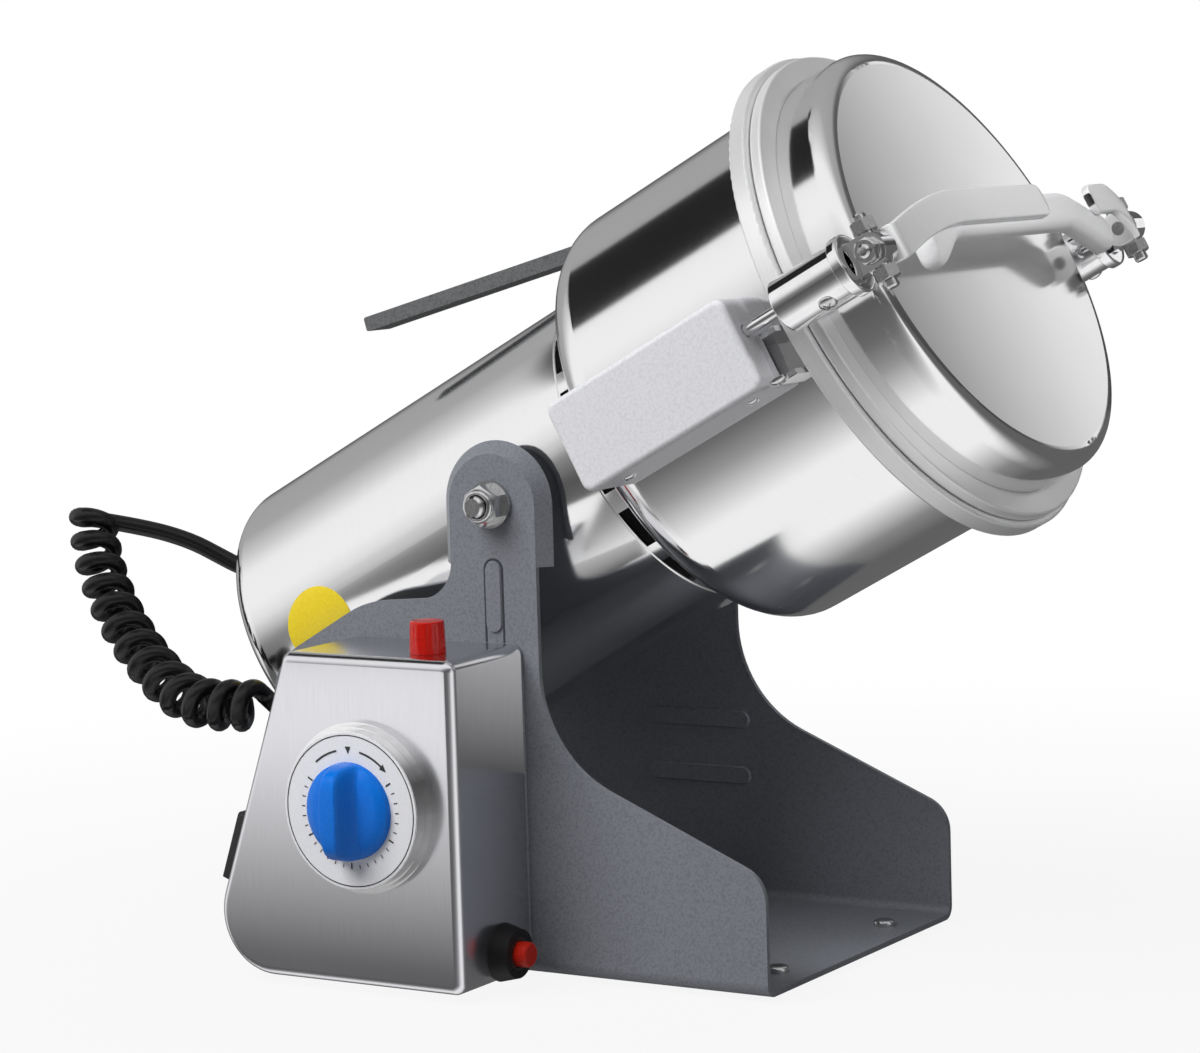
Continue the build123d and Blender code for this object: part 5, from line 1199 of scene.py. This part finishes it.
    def build(self) -> None:
        """Make the knob, the dial, its print and the lamp."""
        knob = self._knob().piece("timer_grip", "knob", BLUE_PLASTIC, crease=60.0)
        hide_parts("timer_knob")
        dial = self._dial().piece("dial_plate", "base", DIAL_WHITE, crease=40.0)
        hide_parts("timer_dial")
        print_marks = self._marks().piece("dial_marks", "base", DIAL_INK, crease=30.0)
        lamp = self._lamp().piece("lamp_lens", "base", RED_LENS, crease=50.0)
        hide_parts("indicator_lamp")


@dataclass(frozen=True)
class Lamp:
    """One lamp of the studio.

    Attributes:
        name: its name.
        place, aim: where it stands and the point that it faces.
        size: how wide it is.
        power: its power in watts.
        cone: the angle of a spot's cone, or nought for a broad lamp.
        blend: the share of a spot's cone that is soft.
    """

    name: str
    place: Triple
    aim: Triple
    size: float
    power: float
    cone: float = 0.0
    blend: float = 0.5

    def hang(self) -> None:
        """Make the lamp, facing its aim and left out of reflections."""
        data = bpy.data.lights.new(self.name, "SPOT" if self.cone else "AREA")
        data.energy = self.power
        if self.cone:
            data.spot_size = self.cone
            data.spot_blend = self.blend
            data.shadow_soft_size = self.size * MM
        else:
            data.size = self.size * MM
        back = np.array(self.place) - np.array(self.aim)
        back /= np.linalg.norm(back)
        right = np.cross(UPWARD, back)
        right /= np.linalg.norm(right)
        holder = add_object(self.name, data)
        holder.matrix_world = placed(right, np.cross(back, right), back, self.place)
        holder.visible_glossy = False


@dataclass
class Studio:
    """The pale floor, the cards and lamps, and the camera.

    A band of the world is an angle round the head's axis, in degrees from the near side upwards, and the
    level that reflections see there.
    """

    camera_place: np.ndarray = array_field(705.8, -1149.8, 298.6)
    azimuth: float = math.radians(31.52)
    elevation: float = math.radians(6.06)
    roll: float = math.radians(-1.69)
    focal: float = 3639.97
    image_width: float = 1200.0
    sensor_width: float = 36.0
    clip_end: float = 50.0
    floor_reach: float = 6000.0
    floor_grey: float = 0.36
    floor_rough: float = 0.9
    fade_reach: Pair = (0.15, 0.75)
    fade_least: float = 0.9
    world_strength: float = 0.11
    bands: Profile = (
        (-180.0, 0.13), (-140.0, 0.13), (-122.0, 0.26), (-110.0, 0.58), (-96.0, 1.0), (-60.0, 1.0),
        (-48.0, 0.66), (-36.0, 0.34), (-22.0, 0.16), (0.0, 0.10), (16.0, 0.26), (32.0, 0.85), (44.0, 1.0),
        (70.0, 0.98), (86.0, 0.66), (104.0, 0.42), (140.0, 0.38), (154.0, 0.12), (180.0, 0.06))
    lamps: tuple[Lamp, ...] = (
        Lamp("key", (-500.0, -1100.0, 1300.0), (0.0, 0.0, 100.0), 1100.0, 34.0),
        Lamp("fill", (1500.0, -500.0, 900.0), (50.0, 0.0, 120.0), 900.0, 2.5),
        Lamp("back", (-200.0, 1400.0, 900.0), (0.0, 0.0, 120.0), 900.0, 9.0),
        Lamp("accent", (950.0, -60.0, 680.0), (165.0, 0.0, 258.0), 90.0, 19.0, cone=math.radians(16.0)))

    def camera(self) -> None:
        """Set the camera: it looks along its back direction reversed, turned about that by the roll."""
        az, el = self.azimuth, self.elevation
        back = np.array([math.sin(az) * math.cos(el), -math.cos(az) * math.cos(el), math.sin(el)])
        right = np.array([math.cos(az), math.sin(az), 0.0])
        above = np.cross(back, right)
        across = right * math.cos(self.roll) + above * math.sin(self.roll)
        upright = above * math.cos(self.roll) - right * math.sin(self.roll)
        data = bpy.data.cameras.new("camera")
        data.sensor_fit = "HORIZONTAL"
        data.sensor_width = self.sensor_width
        data.lens = self.focal / self.image_width * self.sensor_width
        data.clip_end = self.clip_end
        camera = add_object("camera", data)
        camera.matrix_world = placed(across, upright, back, self.camera_place)
        bpy.context.scene.camera = camera

    @staticmethod
    def _seen(tree: bpy.types.NodeTree) -> bpy.types.NodeSocket:
        """Add up the kinds of ray that see the background itself: camera, glossy and transmission rays.

        Args:
            tree: the node tree to add to.

        Returns:
            A socket that is one for those rays.
        """
        rays = add_node(tree, "LightPath", {}).outputs
        seen = rays["Is Camera Ray"]
        for kind in ("Is Glossy Ray", "Is Transmission Ray"):
            seen = add_node(tree, "Math", {0: seen, 1: rays[kind]}, operation="MAXIMUM").outputs[0]
        return seen

    def floor(self) -> None:
        """Lay the pale floor, which shows white and keeps a soft shadow."""
        r = self.floor_reach
        corners = np.array([(-r, -r, 0.0), (r, -r, 0.0), (r, r, 0.0), (-r, r, 0.0)]) * MM
        mesh = bpy.data.meshes.new("floor")
        mesh.from_pydata(corners.tolist(), [], [(0, 1, 2, 3)])
        paint = new_paint("floor")
        tree = paint.node_tree
        shader = tree.nodes["Principled BSDF"]
        grey = self.floor_grey
        fill_inputs(tree, shader, {"Base Color": (grey, grey, grey, 1.0), "Roughness": self.floor_rough})
        glow = add_node(tree, "Emission", {})
        place = add_node(tree, "TexCoord", {})
        away = add_node(tree, "VectorMath", {0: place.outputs["Object"]}, operation="LENGTH")
        start, end = self.fade_reach
        fade = add_node(tree, "MapRange", {"Value": away.outputs["Value"], "From Min": start, "From Max": end,
                                           "To Min": self.fade_least}, interpolation_type="SMOOTHSTEP")
        scale = add_node(tree, "Math", {0: self._seen(tree), 1: fade.outputs["Result"]}, operation="MULTIPLY")
        mix = add_node(tree, "MixShader", {0: scale.outputs[0], 1: shader.outputs[0], 2: glow.outputs[0]})
        fill_inputs(tree, tree.nodes["Material Output"], {"Surface": mix.outputs[0]})
        mesh.materials.append(paint)
        floor = add_object("floor", mesh)
        floor.visible_glossy = False

    def _card(self, name: str, corners: np.ndarray, levels: tuple[float, float, float, float]) -> None:
        """Stand a flag or a shaded card that only reflections see, its level blended between its corners.

        Args:
            name: its name.
            corners: four points, in order round it.
            levels: the brightness at each, held between black and white in between.
        """
        a, b = np.meshgrid(np.linspace(0.0, 1.0, 13), np.linspace(0.0, 1.0, 13), indexing="ij")
        share = np.stack([(1 - a) * (1 - b), a * (1 - b), a * b, (1 - a) * b], axis=-1)
        grid = Surface.from_grid(share @ np.asarray(corners, float))
        mesh = bpy.data.meshes.new(name)
        mesh.from_pydata(in_frame(grid.points).tolist(), [], grid.faces.tolist())
        shades = mesh.attributes.new("level", "FLOAT", "POINT")
        blended = np.clip(share @ np.array(levels), 0.02, 1.0)
        shades.data.foreach_set("value", blended.astype(np.float32).ravel())
        paint = new_paint(name)
        tree = paint.node_tree
        tree.nodes.remove(tree.nodes["Principled BSDF"])
        level = add_node(tree, "Attribute", {}, attribute_name="level")
        glow = add_node(tree, "Emission", {"Strength": level.outputs["Fac"]})
        fill_inputs(tree, tree.nodes["Material Output"], {"Surface": glow.outputs[0]})
        mesh.materials.append(paint)
        card = add_object(name, mesh)
        card.visible_camera = card.visible_diffuse = card.visible_shadow = False
        card.visible_transmission = card.visible_volume_scatter = False

    @staticmethod
    def _upright(left: float, right: float, y: float, low: float, high: float) -> np.ndarray:
        """Give the corners of an upright card that faces the near side."""
        return np.array([(left, y, low), (right, y, low), (right, y, high), (left, y, high)])

    def cards(self) -> None:
        """Stand the black flag and the shaded cards that give polished steel its stripes."""
        start, end = -216.0, 60.0
        above = head_point(np.array([start, end, end, start]), np.array([-246.0, -246.0, 62.0, 62.0]),
                           np.array([433.0, 433.0, 483.0, 483.0]))
        self._card("flag_above", above, (0.0, 0.0, 0.0, 0.0))
        middle = np.array([316.2, 540.9, 460.0])
        along, up = np.array([-37.98, 29.7, -48.87]), np.array([-110.28, -33.6, 173.76])
        behind = [middle + a * along + b * up for a, b in ((-1, -1), (1, -1), (1, 1), (-1, 1))]
        self._card("card_behind", np.array(behind), (0.18, 1.24, 1.24, 0.18))
        self._card("card_front", self._upright(-175.0, -5.0, -180.0, -8.0, 112.0), (0.12, 0.12, 1.35, 1.35))
        self._card("card_beside", self._upright(11.0, 45.0, -73.5, 75.0, 121.0), (0.1, 0.1, 0.5, 0.5))

    def _world(self) -> None:
        """Make the world: an even dim light, white to the camera and banded round the head to reflections."""
        world = bpy.data.worlds.new("studio")
        world.use_nodes = True
        bpy.context.scene.world = world
        tree = world.node_tree
        plain = tree.nodes["Background"]
        fill_inputs(tree, plain, {"Color": WHITE, "Strength": self.world_strength})
        way = add_node(tree, "TexCoord", {}).outputs["Generated"]
        ahead, above = (add_node(tree, "VectorMath", {0: way, 1: tuple(axis)}, operation="DOT_PRODUCT")
                        for axis in (-ACROSS, RISE))
        parts = {0: above.outputs["Value"], 1: ahead.outputs["Value"]}
        turn = add_node(tree, "Math", parts, operation="ARCTAN2").outputs[0]
        share = add_node(tree, "MapRange", {"Value": turn, "From Min": -math.pi, "From Max": math.pi})
        ramp = add_node(tree, "ValToRGB", {"Fac": share.outputs["Result"]})
        stops = ramp.color_ramp.elements
        while len(stops) < len(self.bands):
            stops.new(0.5)
        for stop, (angle, level) in zip(stops, self.bands):
            stop.position = angle / 360.0 + 0.5
            stop.color = (level, level, level, 1.0)
        seen = add_node(tree, "LightPath", {}).outputs["Is Camera Ray"]
        colours = {"Factor": seen, "A": ramp.outputs["Color"], "B": WHITE}
        pick = add_node(tree, "Mix", colours, data_type="RGBA")
        shown = add_node(tree, "Background", {"Color": pick.outputs["Result"], "Strength": 1.0})
        mix = add_node(tree, "MixShader", {0: self._seen(tree), 1: plain.outputs[0], 2: shown.outputs[0]})
        fill_inputs(tree, tree.nodes["World Output"], {"Surface": mix.outputs[0]})

    def light(self) -> None:
        """Light the set with the world and the lamps, and show it without a tone curve."""
        self._world()
        for lamp in self.lamps:
            lamp.hang()
        bpy.context.scene.view_settings.view_transform = "Standard"


def dress_solids() -> None:
    """Give every carried-over solid its finish."""
    for finish, nodes in NODE_FINISHES.items():
        for node in nodes:
            solid = bpy.data.objects[node]
            solid.data.materials.clear()
            solid.data.materials.append(finish.material())
            LOG.info("%s is %s", node, finish.slot)


def main() -> None:
    """Set the camera, build the cord and the finer pieces, light the set and note the sizes."""
    logging.basicConfig(level=logging.INFO, format="%(name)s: %(message)s")
    studio = Studio()
    studio.camera()
    CurlyCord().build()
    dress_solids()
    for group in (Latch(), Handle(), RimBand(), PivotNuts(), BeadShadeLine(), BowlFittings(), ControlBox()):
        group.build()
    studio.floor()
    studio.cards()
    studio.light()


if __name__ == "__main__":
    main()
